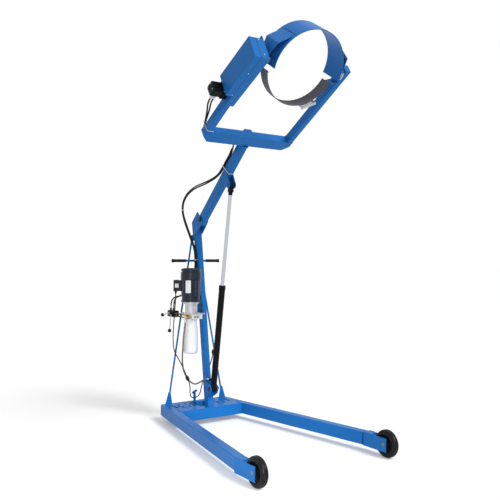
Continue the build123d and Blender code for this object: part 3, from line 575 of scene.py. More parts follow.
# A hose or lead that stays with one body.
def hose(name, points, diameter, body, node, look):
    line = nurbs_line(name, points)
    path = path_of(line)
    thicken(line, diameter)
    line.data.materials.append(look)
    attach(line, body)
    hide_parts(node)
    return path


# A hose that runs between two bodies, as a mesh of its own that is tied to neither.
def bending_hose(name, points, diameter, node, look):
    line = nurbs_line(name, points)
    path = path_of(line)
    thicken(line, diameter)
    mesh = bpy.data.meshes.new_from_object(line)
    bpy.data.objects.remove(line)
    tube = finish_piece(name, mesh, look, None)
    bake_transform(tube)
    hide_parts(node)
    return path


# The two mast hoses, from the valve's stubs round the motor to the mast's left side.
MAST_W = 51
MAST_D = 64
mast_side = -MAST_W / 2 - HOSE_D / 2 - HOSE_ROOM


def beside_mast(z, back):
    return spot(mast_side, mast_y(z) + back, z)


VALVE_TOP = 965
STUB_H = 20
STRAIGHT_UP = 80
VALVE_PORTS = [(-150, 112), (-180, 112)]
MAST_BENDS = [[(-150, 58, 1088), (-146, -15, 1100), (-118, -54, 1122), (-82, -58, 1182), (-50, -72, 1280)],
              [(-178, 46, 1090), (-168, -30, 1100), (-134, -65, 1124), (-92, -70, 1184), (-54, -86, 1284)]]
BESIDE_FROM = 1375
LOOP_START = 1460
HOSE_BACK = (22, 6)
for number, ((x, y), bend, back) in enumerate(zip(VALVE_PORTS, MAST_BENDS, HOSE_BACK), 1):
    route = [spot(x, y, VALVE_TOP + STUB_H), spot(x, y, VALVE_TOP + STRAIGHT_UP)]
    route += [spot(*p) for p in bend]
    route += [beside_mast(BESIDE_FROM, back), beside_mast(LOOP_START, back)]
    hose(f"mast_hose_{number}", route, HOSE_D, "frame", "mast_hoses", LOOKS["rubber"])

# The two loop hoses run side by side, one on each side of a middle line. Each point of that line also has
# half the gap between the hoses in y and z.
BOOM_W = 50
BOOM_D = 88
BOOM_MID = -3
BOOM_HIGH = BOOM_MID - BOOM_D / 2
BOOM_LOW = BOOM_MID + BOOM_D / 2
boom_top = BOOM_HIGH - HOSE_D / 2 - HOSE_ROOM
LOOP_RISE = 56
LOOP_END = 610
ON_BOOM = (-BOOM_W / 2 - 12, -BOOM_W / 2 + 1.5)
LOOP_LINE = [(-40, -13, 1606, 7, -4), (-46, 88, 1752, 7, -4), (-50, 154, 1880, 8, 0),
             (-50, 114, 1993, 6, 5), (-47, -48, 2073, 3, 8), (-42, -282, 2101, 1, 8)]
# Along the boom, and off the line that the hoses take on it.
LOOP_LANDS = [(470, -8, -1), (560, 0, 0), (LOOP_END, 0, 0)]
loop_paths = []
for number, (back, across, way) in enumerate(zip(HOSE_BACK, ON_BOOM, (1, -1)), 1):
    route = [beside_mast(LOOP_START, back), beside_mast(LOOP_START + LOOP_RISE, back)]
    route += [spot(x, y + way * dy, z + way * dz) for x, y, z, dy, dz in LOOP_LINE]
    route += [on(boom, a, boom_top + b, across + c) for a, b, c in LOOP_LANDS]
    loop_paths.append(bending_hose(f"hose_loop_{number}", route, HOSE_D, "hose_loop", LOOKS["rubber"]))

# The two boom hoses, along the boom, behind the beam and up the left arm to the tilt motor.
YOKE_HALF = 365
ARM_W = 52
ARM_H = 70
ARM_OUT = YOKE_HALF + ARM_W
BEAM_FACE = -769
BEAM_BACK = -873
SEAM_X = -434
MOTOR_AT = -381
PORT_X = (SEAM_X - 80, SEAM_X - 54)
PORT_B = 6
PORT_END = MOTOR_AT - 56
PORT_RUN = 75
BOOM_START = (LOOP_END, 660)
BOOM_TURNS = [[(716, boom_top - 2, -33), (768, boom_top + 2, -44), (816, -30, -54)],
              [(722, boom_top - 3, -19), (776, boom_top - 8, -30), (826, -46, -52)]]
BEAM_LIFT = (4, -13)
BEAM_RUN = [(-1, -10, -100), (0, 0, -215.35)]
BEAM_ROOM = 2
CORNERS = [[(-883, -22, -310), (-868, -46, -362), (-800, -47, -400), (-720, -47, -424), (-620, -52, -458)],
           [(-884, -40, -310), (-860, -62, -362), (-795, -63, -392), (-715, -61, -412), (-595, -55, -445)]]
behind_beam = BEAM_BACK - HOSE_D / 2 - BEAM_ROOM
boom_runs = zip(ON_BOOM, BOOM_TURNS, BEAM_LIFT, CORNERS, PORT_X)
for number, (across, turn, lift, corner, port) in enumerate(boom_runs, 1):
    route = [on(boom, a, boom_top, across) for a in BOOM_START]
    route += [on(boom, *p) for p in turn]
    route += [on(yoke, behind_beam + a, lift + b, c) for a, b, c in BEAM_RUN]
    route += [on(yoke, *p) for p in corner]
    route += [on(case, PORT_END - PORT_RUN, PORT_B, port), on(case, PORT_END, PORT_B, port)]
    hose(f"boom_hose_{number}", route, HOSE_D, "boom", "boom_hoses", LOOKS["rubber"])

# The lift hose, from the manifold's elbow to the port near the ram's foot.
LIFT_ELBOW = (-204, -205, 918)
BARREL_R = 27
RAM_PORT_UP = 84
RAM_PORT_OUT = 14
RAM_STUB = 10
LIFT_ROUTE = [LIFT_ELBOW, (-204, -205, 862), (-213, -192, 765), (-208, -172, 655), (-188, -122, 540),
              (-152, -86, 430), (-106, -94, 352), (-82, -150, 322), (-76, -222, 346)]
LIFT_LEAD_IN = 70
port_tip = ram_foot + ram_rod * RAM_PORT_UP * MM - X_AXIS * (BARREL_R + RAM_PORT_OUT) * MM
ram_stub_end = port_tip + BACKWARD * RAM_STUB * MM
route = [spot(*p) for p in LIFT_ROUTE] + [port_tip + BACKWARD * LIFT_LEAD_IN * MM, ram_stub_end]
bending_hose("lift_hose_line", route, LIFT_HOSE_D, "lift_hose", GREY_RUBBER)

# The motor's lead, its connector, its tail and the plug at the end.
CORD_EXIT = (-217, -50, 1150)
CORD_ROUTE = [CORD_EXIT, (-217, -50, 1080), (-224, -44, 960), (-222, -22, 840), (-218, -6, 730),
              (-214, -10, 625), (-208, -78, 560), (-198, -150, 495), (-185, -196, 420)]
JOINER_L = 53
TAIL_STRAIGHT = 34
PLUG_L = 52


# The point a length further on in line with a route's last run.
def onward(points, length):
    last, before = Vector(points[-1]), Vector(points[-2])
    return last + (last - before).normalized() * length


TAIL_ROUTE = [onward(CORD_ROUTE, JOINER_L), onward(CORD_ROUTE, JOINER_L + TAIL_STRAIGHT),
              (-163.4, -226, 260), (-148.4, -213, 234), (-122.4, -205, 219), (-92.4, -205, 219),
              (-66.4, -208, 234), (-51.4, -211, 260), (-22, -196, 350), (24, -186, 420), (58, -200, 500),
              (64, -224, 580)]
JOINER = [(0, 0), (6, 0), (9, 8), (15, 13), (16, 22), (14, 25), (16.5, 28), (16.5, JOINER_L - 12),
          (12, JOINER_L - 8), (7, JOINER_L), (0, JOINER_L)]
END_PLUG = [(0, 0), (6, 0), (8, 10), (13, 16), (15.5, 26), (15.5, PLUG_L - 2), (14, PLUG_L), (0, PLUG_L)]
GLAND = [(0, -2), (12, -2), (12, 7), (10, 8), (9.5, 16), (7.5, 17), (6.6, 26), (5.9, 27), (5.6, 36),
         (0, 36)]


def black_turning(name, where, profile):
    slot = "black_plastic"
    return solid(name, lambda form: lathe(form, where, profile), LOOKS[slot], "frame")


def plug(name, route, profile):
    where = facing(spot(*route[-1]), onward(route, 1) - Vector(route[-1]))
    piece = black_turning(name, where, profile)
    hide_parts("cord_plugs")
    return piece


joiner = plug("cord_connector", CORD_ROUTE, JOINER)
end_plug = plug("cord_end_plug", TAIL_ROUTE, END_PLUG)
hose("power_lead", [spot(*p) for p in CORD_ROUTE], CORD_D, "frame", "power_cord", LOOKS["rubber"])
tail_path = hose("lead_tail", [spot(*p) for p in TAIL_ROUTE], CORD_D, "frame", "cord_tail", LOOKS["rubber"])

# A clip on the mast's right side holds the lead's tail below its plug.
CLIP_Z = 515
CLIP_IN = 4.4
CLIP_OUT = 6.4
CLIP_HALF = 6
CLIP_STEM_HALF = 1.5
CLIP_STEM_SHORT = 5
CLIP_FOOT = (14, 9)
CLIP_FOOT_T = 2


def cord_clip(form):
    near = index_at(tail_path, CLIP_Z)
    at = tail_path[near]
    ring = [(CLIP_IN, -CLIP_HALF), (CLIP_OUT, -CLIP_HALF), (CLIP_OUT, CLIP_HALF), (CLIP_IN, CLIP_HALF)]
    lathe(form, facing(at, tail_path[near + 1] - tail_path[near - 1]), ring + ring[:1], 24)
    foot = facing(Vector((MAST_W / 2 * MM, at.y, at.z)), X_AXIS)
    reach = at.x / MM - MAST_W / 2
    pad(form, foot, CLIP_HALF, CLIP_STEM_HALF, 0, reach - CLIP_STEM_SHORT, ease=0.5)
    pad(form, foot, *CLIP_FOOT, 0, CLIP_FOOT_T, ease=0.6)


solid("cord_clip", cord_clip, LOOKS["steel"], "frame")
black_turning("cord_gland", facing(spot(*CORD_EXIT), DOWN), GLAND)

# hose ends: a nut and a crimped sleeve
FERRULE = [(0, 0), (9.6, 0), (9.6, 9), (7.4, 10), (7.4, 12), (9, 13), (9, 20), (8.5, 20.6), (9, 21.4),
           (9, 28), (8.5, 28.6), (9, 29.4), (9, 36), (7.6, 38), (0, 38)]


def ferrules(name, body, ends):
    def build(form):
        for at, direction in ends:
            lathe(form, facing(at, direction), FERRULE, 24)
    solid(name, build, LOOKS["steel"], body)


unit_ends = [(spot(x, y, VALVE_TOP + STUB_H), UP) for x, y in VALVE_PORTS] + [(spot(*LIFT_ELBOW), DOWN)]
motor_ends = [(on(case, PORT_END, PORT_B, c), turned(case, -1, 0, 0)) for c in PORT_X]
ferrules("unit_ferrules", "frame", unit_ends)
ferrules("motor_ferrules", "boom", motor_ends)
ferrules("cylinder_ferrule", "cylinder", [(ram_stub_end, BACKWARD)])

# cable ties: outlines across a member, and places along it
TIE_ROOM = 0.3
half_boom = BOOM_W / 2
half_arm = ARM_H / 2
tie_side = half_boom + TIE_ROOM
hose_out = ON_BOOM[0] - HOSE_D / 2 - HOSE_ROOM
hose_over = boom_top - HOSE_D / 2 - HOSE_ROOM
ROUND_BOOM = [(BOOM_LOW + TIE_ROOM, tie_side), (BOOM_LOW + TIE_ROOM, -tie_side), (boom_top, hose_out),
              (hose_over, hose_out + 6), (hose_over, ON_BOOM[1] + 6), (boom_top + 8, tie_side)]
ROUND_ARM = [(half_arm + TIE_ROOM, -ARM_OUT - TIE_ROOM), (half_arm + TIE_ROOM, TIE_ROOM - YOKE_HALF),
             (-half_arm, TIE_ROOM - YOKE_HALF), (-70, -394), (-70, -410), (-54, -424), (-half_arm, -424)]
ROUND_HOSES = [(4, -27.3), (4, -30), (1, -39), (-2, -39.5), (-26, -39.5), (-29, -39), (-31, -33),
               (-31, -27.3)]
BOOM_TIE_AT = 586
ARM_TIE_AT = -750
MAST_TIE_AT = 1292
LOOP_TIE_Z = 1880.5
LOOP_TIE_ROOM = 0.4
LOOP_TIE_CORNER = 3
ties("boom_ties", "boom", [(boom, BOOM_TIE_AT, ROUND_BOOM, 2), (yoke, ARM_TIE_AT, ROUND_ARM, 3)])
ties("mast_ties", "frame", [(mast, MAST_TIE_AT, ROUND_HOSES, 2)])


# The tie that holds the loop's two hoses together, near the loop's back.
def loop_tie(form):
    near = index_at(loop_paths[0], LOOP_TIE_Z)
    first = loop_paths[0][near]
    second = min(loop_paths[1], key=lambda p: (p - first).length)
    along = (loop_paths[0][near + 1] - loop_paths[0][near - 1]).normalized()
    across = (second - first).normalized()
    where = axes((first + second) / 2, along, across, along.cross(across))
    reach = (second - first).length / 2 / MM + HOSE_D / 2
    half = HOSE_D / 2 + LOOP_TIE_ROOM
    inner = reach - LOOP_TIE_CORNER
    upper = [(reach, LOOP_TIE_CORNER), (inner, half), (-inner, half), (-reach, LOOP_TIE_CORNER)]
    tie(form, where, upper + [(y, -z) for y, z in reversed(upper)], lock=1)


band = solid("loop_tie", loop_tie, TIE, None)
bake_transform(band)

# front wheels: grooved tyres on dished hubs, each profile up to the middle of the wheel
WHEEL_R = 101.5
TRACK = 1155
AXLE_Y = -1843
WHEEL_STEPS = 96
TREAD = [(73, -21), (75, -24.4), (80, -25), (82, -24.2), (83.5, -21.5), (87, -21), (89, -22.8), (93, -22),
         (97, -18.6), (99.8, -14.6), (101.2, -10.4), (101.5, -8), (101, -6), (98, -4.6), (97.4, -3)]
HUB = [(10.05, -28), (23, -28), (23.5, -27), (24, -9), (27, -7), (60, -7), (64, -9), (64.5, -21), (66, -22),
       (74, -22)]


# A closed profile that is the same on both sides of the wheel.
def mirrored(profile):
    return profile + [(r, -h) for r, h in reversed(profile)] + profile[:1]


for side, word in zip(SIDES, ("left", "right")):
    where = facing(spot(side * TRACK / 2, AXLE_Y, WHEEL_R), X_AXIS)
    for part, profile, slot in (("tyre", TREAD, "tyre"), ("hub", HUB, "black_paint")):
        piece = solid(f"{part}_{word}", lambda form: lathe(form, where, mirrored(profile), WHEEL_STEPS),
                      LOOKS[slot], f"wheel_{word}")
        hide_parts(f"front_wheel_{word}")

# drum strap: webbing round the lower side, with sewn ends
STRAP_R = 296
STRAP_W = 102
STRAP_AT = -27
STRAP_T = 3
STRAP_STEPS = 120
STRAP_FROM = radians(194.9)
STRAP_TO = radians(345.1)
# The webbing's section as shares of its width and thickness.
SECTION = [(-0.5, -1), (-0.485, -0.25), (-0.46, 0), (-0.2, 0), (0.2, 0), (0.46, 0), (0.485, -0.25),
           (0.5, -1), (0.485, -1), (-0.485, -1)]
STITCH_ROWS = (radians(3), radians(8))
STITCH_PITCH = 4
STITCHES_EACH_WAY = 11
STITCH = (0.6, 1.5, -0.4, 0.5, 0.2)


def strap_point(turn, out, along):
    radius = STRAP_R + out
    return on(holder, radius * cos(turn), radius * sin(turn), STRAP_AT + along)


def strap(form):
    rings = []
    for i in range(STRAP_STEPS + 1):
        turn = STRAP_FROM + (STRAP_TO - STRAP_FROM) * i / STRAP_STEPS
        section = [strap_point(turn, out * STRAP_T, along * STRAP_W) for along, out in SECTION]
        rings.append([form.verts.new(point) for point in section])
    rings_to_faces(form, rings, len(SECTION))
    form.faces.new(rings[0])
    form.faces.new(rings[-1])


def stitches(form):
    for first, way in ((STRAP_FROM, 1), (STRAP_TO, -1)):
        for row in STITCH_ROWS:
            for i in range(-STITCHES_EACH_WAY, STITCHES_EACH_WAY + 1):
                along = i * STITCH_PITCH
                at = strap_point(first + way * row, 0, along)
                where = facing(at, at - on(holder, 0, 0, STRAP_AT + along))
                pad(form, where, *STITCH)


sling = solid("strap_webbing", strap, LOOKS["webbing"], "holder")
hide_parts("drum_strap")
sewing = solid("strap_stitches", stitches, THREAD, "holder")

# welds, by three bead radii, and how far some lie below a top face or out of a side
FINE = 3
SMALL = 4
WIDE = 5
BEAD_OFF = 1
REAR_WIDTH = 662
LEG_WIDTH = 76
BOX_DEPTH = 325
FRONT_TUBE = 76
REAR_TUBE = 50
BASE_LOW = 50
FORK_BACK = -1632
LEG_END = -1700
LEG_MEET = 31
BRACE_X = 285
BRACE_Y = -44
GUSSET_HALF = 4
GUSSET_REACH = (-42, 26)
CHEEK_EDGE = ((-108, -77), (-128, -141))
CHEEK_OUT = MAST_W / 2 + 2
RAM_BRACKET_RUNS = ((83, 222), (3, 92))
FOOT_FRONT = -310
FOOT_HALF = 27
POST_AT = 1283.5
POST_HALF_A = 12
POST_HALF_C = 22
CARRIER_ENDS = (950, 1046)
CARRIER_HALF = 30


def leg_inner(y):
    return REAR_WIDTH / 2 - LEG_WIDTH / cos(radians(SPLAY)) - y * tan(radians(SPLAY))


# Cross tubes to leg, brace foot to deck and fork to leg, on one side.
def base_lines(side):
    lines = []
    for run in ((-REAR_TUBE, 0), (-BOX_DEPTH, FRONT_TUBE - BOX_DEPTH)):
        lines.append((SMALL, *[spot(side * leg_inner(y), y, BASE_TOP - BEAD_OFF) for y in run]))
    inner = side * leg_inner(-BOX_DEPTH)
    lines.append((SMALL, *[spot(inner, -BOX_DEPTH, z) for z in (BASE_LOW, BASE_TOP)]))
    for y in (BRACE_Y - GUSSET_HALF, BRACE_Y + GUSSET_HALF):
        lines.append((SMALL, *[spot(side * (BRACE_X + reach), y, BASE_TOP) for reach in GUSSET_REACH]))
    fork_edge = ((FORK_BACK, BASE_LOW), (FORK_BACK, BASE_TOP), (LEG_END, BASE_TOP))
    for way in SIDES:
        x = side * TRACK / 2 + way * LEG_MEET
        lines.append((FINE, *[spot(x, y, z) for y, z in fork_edge]))
    return lines


# Boom cheek, ram foot bracket, mast foot and push bar post, on one side of the mast.
def mast_lines(side):
    half = MAST_D / 2
    edge = side * MAST_W / 2
    cheek = X_AXIS * side * CHEEK_OUT
    lines = [(WIDE, *[pivot + (turned(mast, a, b, 0) + cheek) * MM for a, b in CHEEK_EDGE])]
    lines += [(SMALL, *[on(mast, a, half, edge) for a in run]) for run in RAM_BRACKET_RUNS]
    foot = ((edge, MAST_FOOT_Y - half), (edge, MAST_FOOT_Y + half), (0, MAST_FOOT_Y + half))
    lines.append((WIDE, *[spot(x, y, BASE_TOP) for x, y in foot]))
    post_side = side * POST_HALF_C
    post = ((-POST_HALF_A, post_side), (POST_HALF_A, post_side), (POST_HALF_A, 0))
    lines.append((SMALL, *[on(mast, POST_AT + a, -half, c) for a, c in post]))
    return lines


def frame_lines():
    lines = []
    for side in SIDES:
        lines += base_lines(side) + mast_lines(side)
    lines.append((WIDE, *[spot(x, FOOT_FRONT, BASE_TOP) for x in (-FOOT_HALF, FOOT_HALF)]))
    reach = (-CARRIER_HALF, CARRIER_HALF)
    for z in CARRIER_ENDS:
        lines.append((SMALL, *[spot(-MAST_W / 2 - BEAD_OFF, mast_y(z) + y, z) for y in reach]))
    return lines


# Where a line along the boom meets the back of the beam.
def boom_meets_beam(b, c):
    along = turned(boom, 1, 0, 0)
    across = turned(yoke, 1, 0, 0)
    start = on(boom, 0, b, c)
    return start + along * ((BEAM_BACK * MM - (start - tilt).dot(across)) / along.dot(across))


EAR_OUTLINE = ((497, 41), (468, 10), (580, 10), (551, 41))
EAR_OUT = BOOM_W / 2 + 2
RIB = 34


def boom_lines():
    ring = [(BOOM_LOW, half_boom), (BOOM_LOW, -half_boom), (BOOM_HIGH, -half_boom), (BOOM_HIGH, half_boom),
            (BOOM_LOW, half_boom)]
    lines = [(WIDE, *[boom_meets_beam(b, c) for b, c in ring])]
    corners = [(half_arm, YOKE_HALF), (half_arm, ARM_OUT), (-half_arm, ARM_OUT), (-half_arm, YOKE_HALF),
               (half_arm, YOKE_HALF)]
    for side in SIDES:
        lines.append((SMALL, *[on(yoke, BEAM_FACE, b, side * c) for b, c in corners]))
        lines.append((SMALL, *[on(boom, a, b, side * EAR_OUT) for a, b in EAR_OUTLINE]))
    for a in (BEAM_FACE - RIB, BEAM_FACE):
        lines.append((SMALL, *[on(yoke, a, -half_arm, c) for c in (-RIB, RIB)]))
    return lines


SADDLE_SEAM = (201, 217)
BRACKET_HALF = 82


def holder_lines():
    x, y = SADDLE_SEAM
    return [(SMALL, *[on(holder, side * x, y, z) for z in (-BRACKET_HALF, BRACKET_HALF)]) for side in SIDES]


welds("frame_welds", "frame", frame_lines())
welds("boom_welds", "boom", boom_lines())
welds("holder_welds", "holder", holder_lines())

# screws and bolts: sizes across their heads
BOLT = 13
PORT_PLUG = 17
FLANGE_SCREW = 11
SHELF_SCREW = 12
MANIFOLD_SCREW = 10
VALVE_SCREW = 8
LEG_PLUG = 9
CASE_SCREW = 11
MOTOR_SCREW = 9
MOTOR_END_SCREW = 8
BEARING_SCREW = 7
LID_SCREW = 7

# The caster decks: a plate on each, and its four bolts.
CASTER_X = 178
CASTER_Y = -150
DECK_PLATE = (44, 54)
DECK_PLATE_T = 4
CASTER_BOLTS = (30, 38)
caster_bolts = [(spot(side * CASTER_X + x, CASTER_Y + y, BASE_TOP + DECK_PLATE_T), UP, BOLT)
                for side in SIDES for x, y in four(*CASTER_BOLTS)]
fasteners("caster_bolts", hex_head, "frame", caster_bolts, slot="blue_paint")


def deck_plates(form):
    for side in SIDES:
        pad(form, facing(spot(side * CASTER_X, CASTER_Y, BASE_TOP), UP), *DECK_PLATE, 0, DECK_PLATE_T)


solid("deck_plates", deck_plates, LOOKS["blue_paint"], "frame")

# The power unit: motor flange and shelf, manifold, valve, and the carrier's bolts on the mast.
UNIT_X = -125
UNIT_Y = -161
FLANGE_Z = 1042
FLANGE_R = 61
SHELF_TOP = 958
SHELF_SCREWS = (48, 52)
unit_screws = [(spot(UNIT_X + x, UNIT_Y + y, FLANGE_Z), DOWN, FLANGE_SCREW)
               for x, y in four_round(FLANGE_R, pi / 4)]
unit_screws += [(spot(UNIT_X + x, UNIT_Y + y, SHELF_TOP), UP, SHELF_SCREW) for x, y in four(*SHELF_SCREWS)]
fasteners("unit_screws", cap_screw, "frame", unit_screws)

MANIFOLD_FRONT = -236
MANIFOLD_LEFT = -152
MANIFOLD_LOW = 908
PLUG_Z = 929
FRONT_PLUGS_X = (-126, -98)
LEFT_PLUG_Y = -176
MANIFOLD_SCREWS = ((-62, -224), (-62, -140), (-142, -228))
manifold_plugs = [(spot(x, MANIFOLD_FRONT, PLUG_Z), FORWARD, PORT_PLUG) for x in FRONT_PLUGS_X]
manifold_plugs += [(spot(MANIFOLD_LEFT, LEFT_PLUG_Y, PLUG_Z), LEFT, PORT_PLUG)]
fasteners("manifold_plugs", hex_head, "frame", manifold_plugs)
manifold_screws = [(spot(x, y, MANIFOLD_LOW), DOWN, MANIFOLD_SCREW) for x, y in MANIFOLD_SCREWS]
fasteners("manifold_screws", cap_screw, "frame", manifold_screws, DARK)

VALVE_Z = 935
VALVE_REAR = 150
VALVE_FRONT = 40
VALVE_SCREWS = 18
valve_screws = [(spot(VALVE_X + x, VALVE_REAR, VALVE_Z + z), BACKWARD, VALVE_SCREW)
                for x, z in four(VALVE_SCREWS, VALVE_SCREWS)]
valve_screws += [(spot(VALVE_X + VALVE_SCREWS, VALVE_FRONT, VALVE_Z + z), FORWARD, VALVE_SCREW)
                 for z in (-VALVE_SCREWS, VALVE_SCREWS)]
fasteners("valve_screws", cap_screw, "frame", valve_screws, DARK)

BRACKET_MID_Z = 1000
BRACKET_BOLTS_Z = (975, 1025)
BRACKET_T = 8
BRACKET_FORWARD = 46
bolt_y = mast_y(BRACKET_MID_Z)
bracket_bolts = [(spot(-MAST_W / 2 - BRACKET_T, bolt_y - BRACKET_FORWARD, z), LEFT, BOLT)
                 for z in BRACKET_BOLTS_Z]
bracket_bolts += [(spot(MAST_W / 2, bolt_y, z), X_AXIS, BOLT) for z in BRACKET_BOLTS_Z]
fasteners("bracket_bolts", hex_head, "frame", bracket_bolts, DARK)

# Plugs in the left leg's outer side.
LEG_PLUGS = ((-92, 105), (-160, 84))
leg_out = (-cos(radians(SPLAY)), sin(radians(SPLAY)), 0)
leg_plugs = [(spot(-REAR_WIDTH / 2 + y * tan(radians(SPLAY)), y, z), leg_out, LEG_PLUG)
             for y, z in LEG_PLUGS]
fasteners("leg_plugs", round_head, "frame", leg_plugs, slot="blue_paint")

# The case: screws, and a dark rubber strip along the seam between its pan and its cover, which paints the shadow
# in that gap as a dark line.
COVER_END = -330
CASE_TOP = 86
CASE_FACES = ((94, 1), (-84, -1))
TOP_SCREWS = ((-69, -412), (60, -403))
FACE_SCREWS_A = (-80, -313)
FACE_SCREWS_X = SEAM_X - 8
case_screws = [(on(case, CASE_TOP, b, c), turned(case, 1, 0, 0), CASE_SCREW) for b, c in TOP_SCREWS]
for face, out in CASE_FACES:
    case_screws += [(on(case, a, face, FACE_SCREWS_X), turned(case, 0, out, 0), CASE_SCREW)
                    for a in FACE_SCREWS_A]
fasteners("case_screws", round_head, "boom", case_screws)

# Half width, bottom, top and ease of the strips of painted seam shadow.
SEAM_SHADOW = (1.2, -1, 0.5, 0.3)


# A strip of painted seam shadow: its middle, the way it runs, the way it faces and half its length.
def strip(form, at, along, out, half):
    pad(form, axes(at, along, out.cross(along), out), half, *SEAM_SHADOW)


# Dark rubber strips on the seam's three faces: painted shade standing in for the shadow in the gap between pan and
# cover.
def seam_shadow_strip(form):
    up_case = turned(case, 1, 0, 0)
    half = (CASE_TOP - COVER_END) / 2
    for face, out in CASE_FACES:
        strip(form, on(case, CASE_TOP - half, face, SEAM_X), up_case, turned(case, 0, out, 0), half)
    under, over = CASE_FACES[0][0], CASE_FACES[1][0]
    middle = on(case, CASE_TOP, (under + over) / 2, SEAM_X)
    strip(form, middle, turned(case, 0, 1, 0), up_case, (under - over) / 2)


solid("case_seam_shadow", seam_shadow_strip, LOOKS["rubber"], "boom")

# The tilt motor's flange and end, each with its place across, the half sizes of its pattern and its
# screws' size, and the right-hand bearing.
MOTOR_PATTERNS = ((SEAM_X - 40, (38.5, 43), MOTOR_SCREW), (SEAM_X - 126, (24, 26), MOTOR_END_SCREW))
BEARING_SCREWS_R = 23
tilt_motor_screws = [(on(case, MOTOR_AT + a, b, c), LEFT, size)
                     for c, halves, size in MOTOR_PATTERNS for a, b in four(*halves)]
fasteners("tilt_motor_screws", cap_screw, "boom", tilt_motor_screws)
bearing_screws = [(on(yoke, a, b, ARM_OUT), X_AXIS, BEARING_SCREW)
                  for a, b in four_round(BEARING_SCREWS_R)]
fasteners("bearing_screws", cap_screw, "boom", bearing_screws)

# electric motor: bare plate, fan grille, junction box lid
MOTOR_R = 85
FAN_TOP = 1350
PLATE_MID = radians(223.8)
PLATE_W = 47
PLATE_LOW = 1138
PLATE_TOP = 1247
PLATE_STEPS = 12
# Height over the motor, and how far the edge is eased, in radians round it and in millimetres up.
PLATE_RINGS = ((0.2, 0, 0), (0.9, 0, 0), (1.1, 0.02, 2))


# A plain plate bent round the motor.
def name_plate(form):
    rings = []
    count = PLATE_STEPS + 1
    for out, ease_turn, ease_z in PLATE_RINGS:
        ring = []
        half_turn = PLATE_W / 2 / MOTOR_R - ease_turn
        for z, way in ((PLATE_LOW, 1), (PLATE_TOP, -1)):
            for i in range(count):
                turn = PLATE_MID + way * half_turn * (2 * i / PLATE_STEPS - 1)
                x = UNIT_X + (MOTOR_R + out) * cos(turn)
                y = UNIT_Y + (MOTOR_R + out) * sin(turn)
                ring.append(form.verts.new(spot(x, y, z + way * ease_z)))
        rings.append(ring)
    rings_to_faces(form, rings, 2 * count)
    for low, high in zip(range(PLATE_STEPS), range(2 * count - 1, count, -1)):
        form.faces.new([rings[-1][i] for i in (low, low + 1, high - 1, high)])


solid("name_plate", name_plate, PLATE, "frame")

GRILLE_RINGS = (24, 44, 64)
GRILLE_SECTION = ((-2, -1), (-2, 2), (-1, 3), (1, 3), (2, 2), (2, -1), (-2, -1))
SPOKES = 8
SPOKE_MID = 44
SPOKE = (26, 2, -1, 3)


def fan_grille(form):
    top = Matrix.Translation(spot(UNIT_X, UNIT_Y, FAN_TOP))
    for radius in GRILLE_RINGS:
        lathe(form, facing(top.translation, UP), [(radius + r, h) for r, h in GRILLE_SECTION], 48)
    for i in range(SPOKES):
        spoke = top @ Matrix.Rotation(2 * pi * i / SPOKES, 4, "Z")
        pad(form, moved(spoke, SPOKE_MID), *SPOKE)


solid("fan_grille", fan_grille, LOOKS["motor_paint"], "frame")

BOX_TURN = radians(128)
BOX_Z = 1198
BOX_OUT = 146
LID_T = 4
LID = (50, 44, -7, LID_T, 2)
LID_SCREWS = (43, 37)
BOX_PLATE_AT = (118, 42)
BOX_PLATE = (18, 18, -0.5, 0.8, 0.3)
box = Matrix.Translation(spot(UNIT_X, UNIT_Y, BOX_Z)) @ Matrix.Rotation(BOX_TURN, 4, "Z")
box_face = moved(box, BOX_OUT) @ Matrix.Rotation(pi / 2, 4, "Y")
box_end = moved(box, *BOX_PLATE_AT) @ Matrix.Rotation(-pi / 2, 4, "X")
solid("box_lid", lambda form: pad(form, box_face, *LID), LOOKS["motor_paint"], "frame")
lid_screws = [(on(box_face, x, y, LID_T), turned(box_face, *UP), LID_SCREW) for x, y in four(*LID_SCREWS)]
fasteners("lid_screws", round_head, "frame", lid_screws)
solid("box_plate", lambda form: pad(form, box_end, *BOX_PLATE), PLATE, "frame")

# light and floor
SKY_LEVEL = 0.42
FLOOR_GLOW = 0.20
FLOOR_HALF = 40


# 1 for what the camera sees, straight, mirrored or through glass, and 0 for other light.
def camera_rays(nodes, links):
    rays = nodes.new("ShaderNodeLightPath")
    seen = rays.outputs["Is Camera Ray"]
    for kind in ("Is Glossy Ray", "Is Transmission Ray"):
        either = nodes.new("ShaderNodeMath")
        either.operation = "MAXIMUM"
        links.new(seen, either.inputs[0])
        links.new(rays.outputs[kind], either.inputs[1])
        seen = either.outputs["Value"]
    return seen


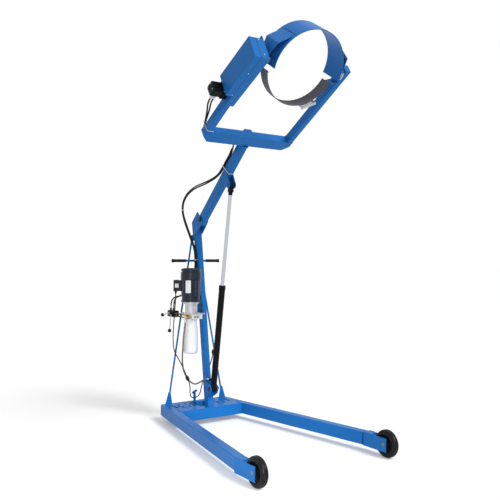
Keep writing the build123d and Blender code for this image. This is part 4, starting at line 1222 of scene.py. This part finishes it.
def make_world():
    world = bpy.data.worlds.new("studio")
    bpy.context.scene.world = world
    world.use_nodes = True
    nodes = world.node_tree.nodes
    links = world.node_tree.links
    level = nodes.new("ShaderNodeMapRange")
    level.inputs["To Min"].default_value = SKY_LEVEL
    level.inputs["To Max"].default_value = 1.0
    links.new(camera_rays(nodes, links), level.inputs["Value"])
    links.new(level.outputs["Result"], nodes["Background"].inputs["Strength"])
    nodes["Background"].inputs["Color"].default_value = (1, 1, 1, 1)


def lamp(data, direction):
    light = bpy.data.objects.new(data.name, data)
    light.rotation_euler = Vector(direction).to_track_quat("-Z", "Y").to_euler()
    bpy.context.scene.collection.objects.link(light)
    return light


def sun(name, direction, strength, spread):
    data = bpy.data.lights.new(name, "SUN")
    data.energy = strength
    data.angle = radians(spread)
    lamp(data, direction)


# A lamp with a grid, so that it lights little more than what it points at.
def softbox(name, at, target, size, power, spread):
    data = bpy.data.lights.new(name, "AREA")
    data.size = size
    data.energy = power
    data.spread = radians(spread)
    light = lamp(data, spot(*target) - spot(*at))
    light.location = spot(*at)


# The paper lights up a little for the camera, so that it is white where no shadow falls.
def paper():
    material = shader("floor_paper", (0.93, 0.93, 0.93), 0.9, specular=0)
    nodes = material.node_tree.nodes
    glow = nodes.new("ShaderNodeMath")
    glow.operation = "MULTIPLY"
    glow.inputs[1].default_value = FLOOR_GLOW
    link(material, camera_rays(nodes, material.node_tree.links), glow.inputs[0])
    main_node(material).inputs["Emission Color"].default_value = (1, 1, 1, 1)
    link(material, glow.outputs["Value"], main_node(material).inputs["Emission Strength"])
    return material


def make_floor():
    mesh = bpy.data.meshes.new("floor")
    corners = [(-FLOOR_HALF, -FLOOR_HALF, 0), (FLOOR_HALF, -FLOOR_HALF, 0), (FLOOR_HALF, FLOOR_HALF, 0),
               (-FLOOR_HALF, FLOOR_HALF, 0)]
    mesh.from_pydata(corners, [], [(0, 1, 2, 3)])
    mesh.materials.append(paper())
    floor = bpy.data.objects.new("floor", mesh)
    bpy.context.scene.collection.objects.link(floor)


make_world()
sun("key", direction=(-0.20, 0.72, -0.76), strength=2.1, spread=20)
softbox("base_fill", at=(-2600, -3900, 900), target=(0, -1000, -250), size=1.4, power=7, spread=45)
make_floor()

bpy.context.scene.view_settings.view_transform = "Standard"
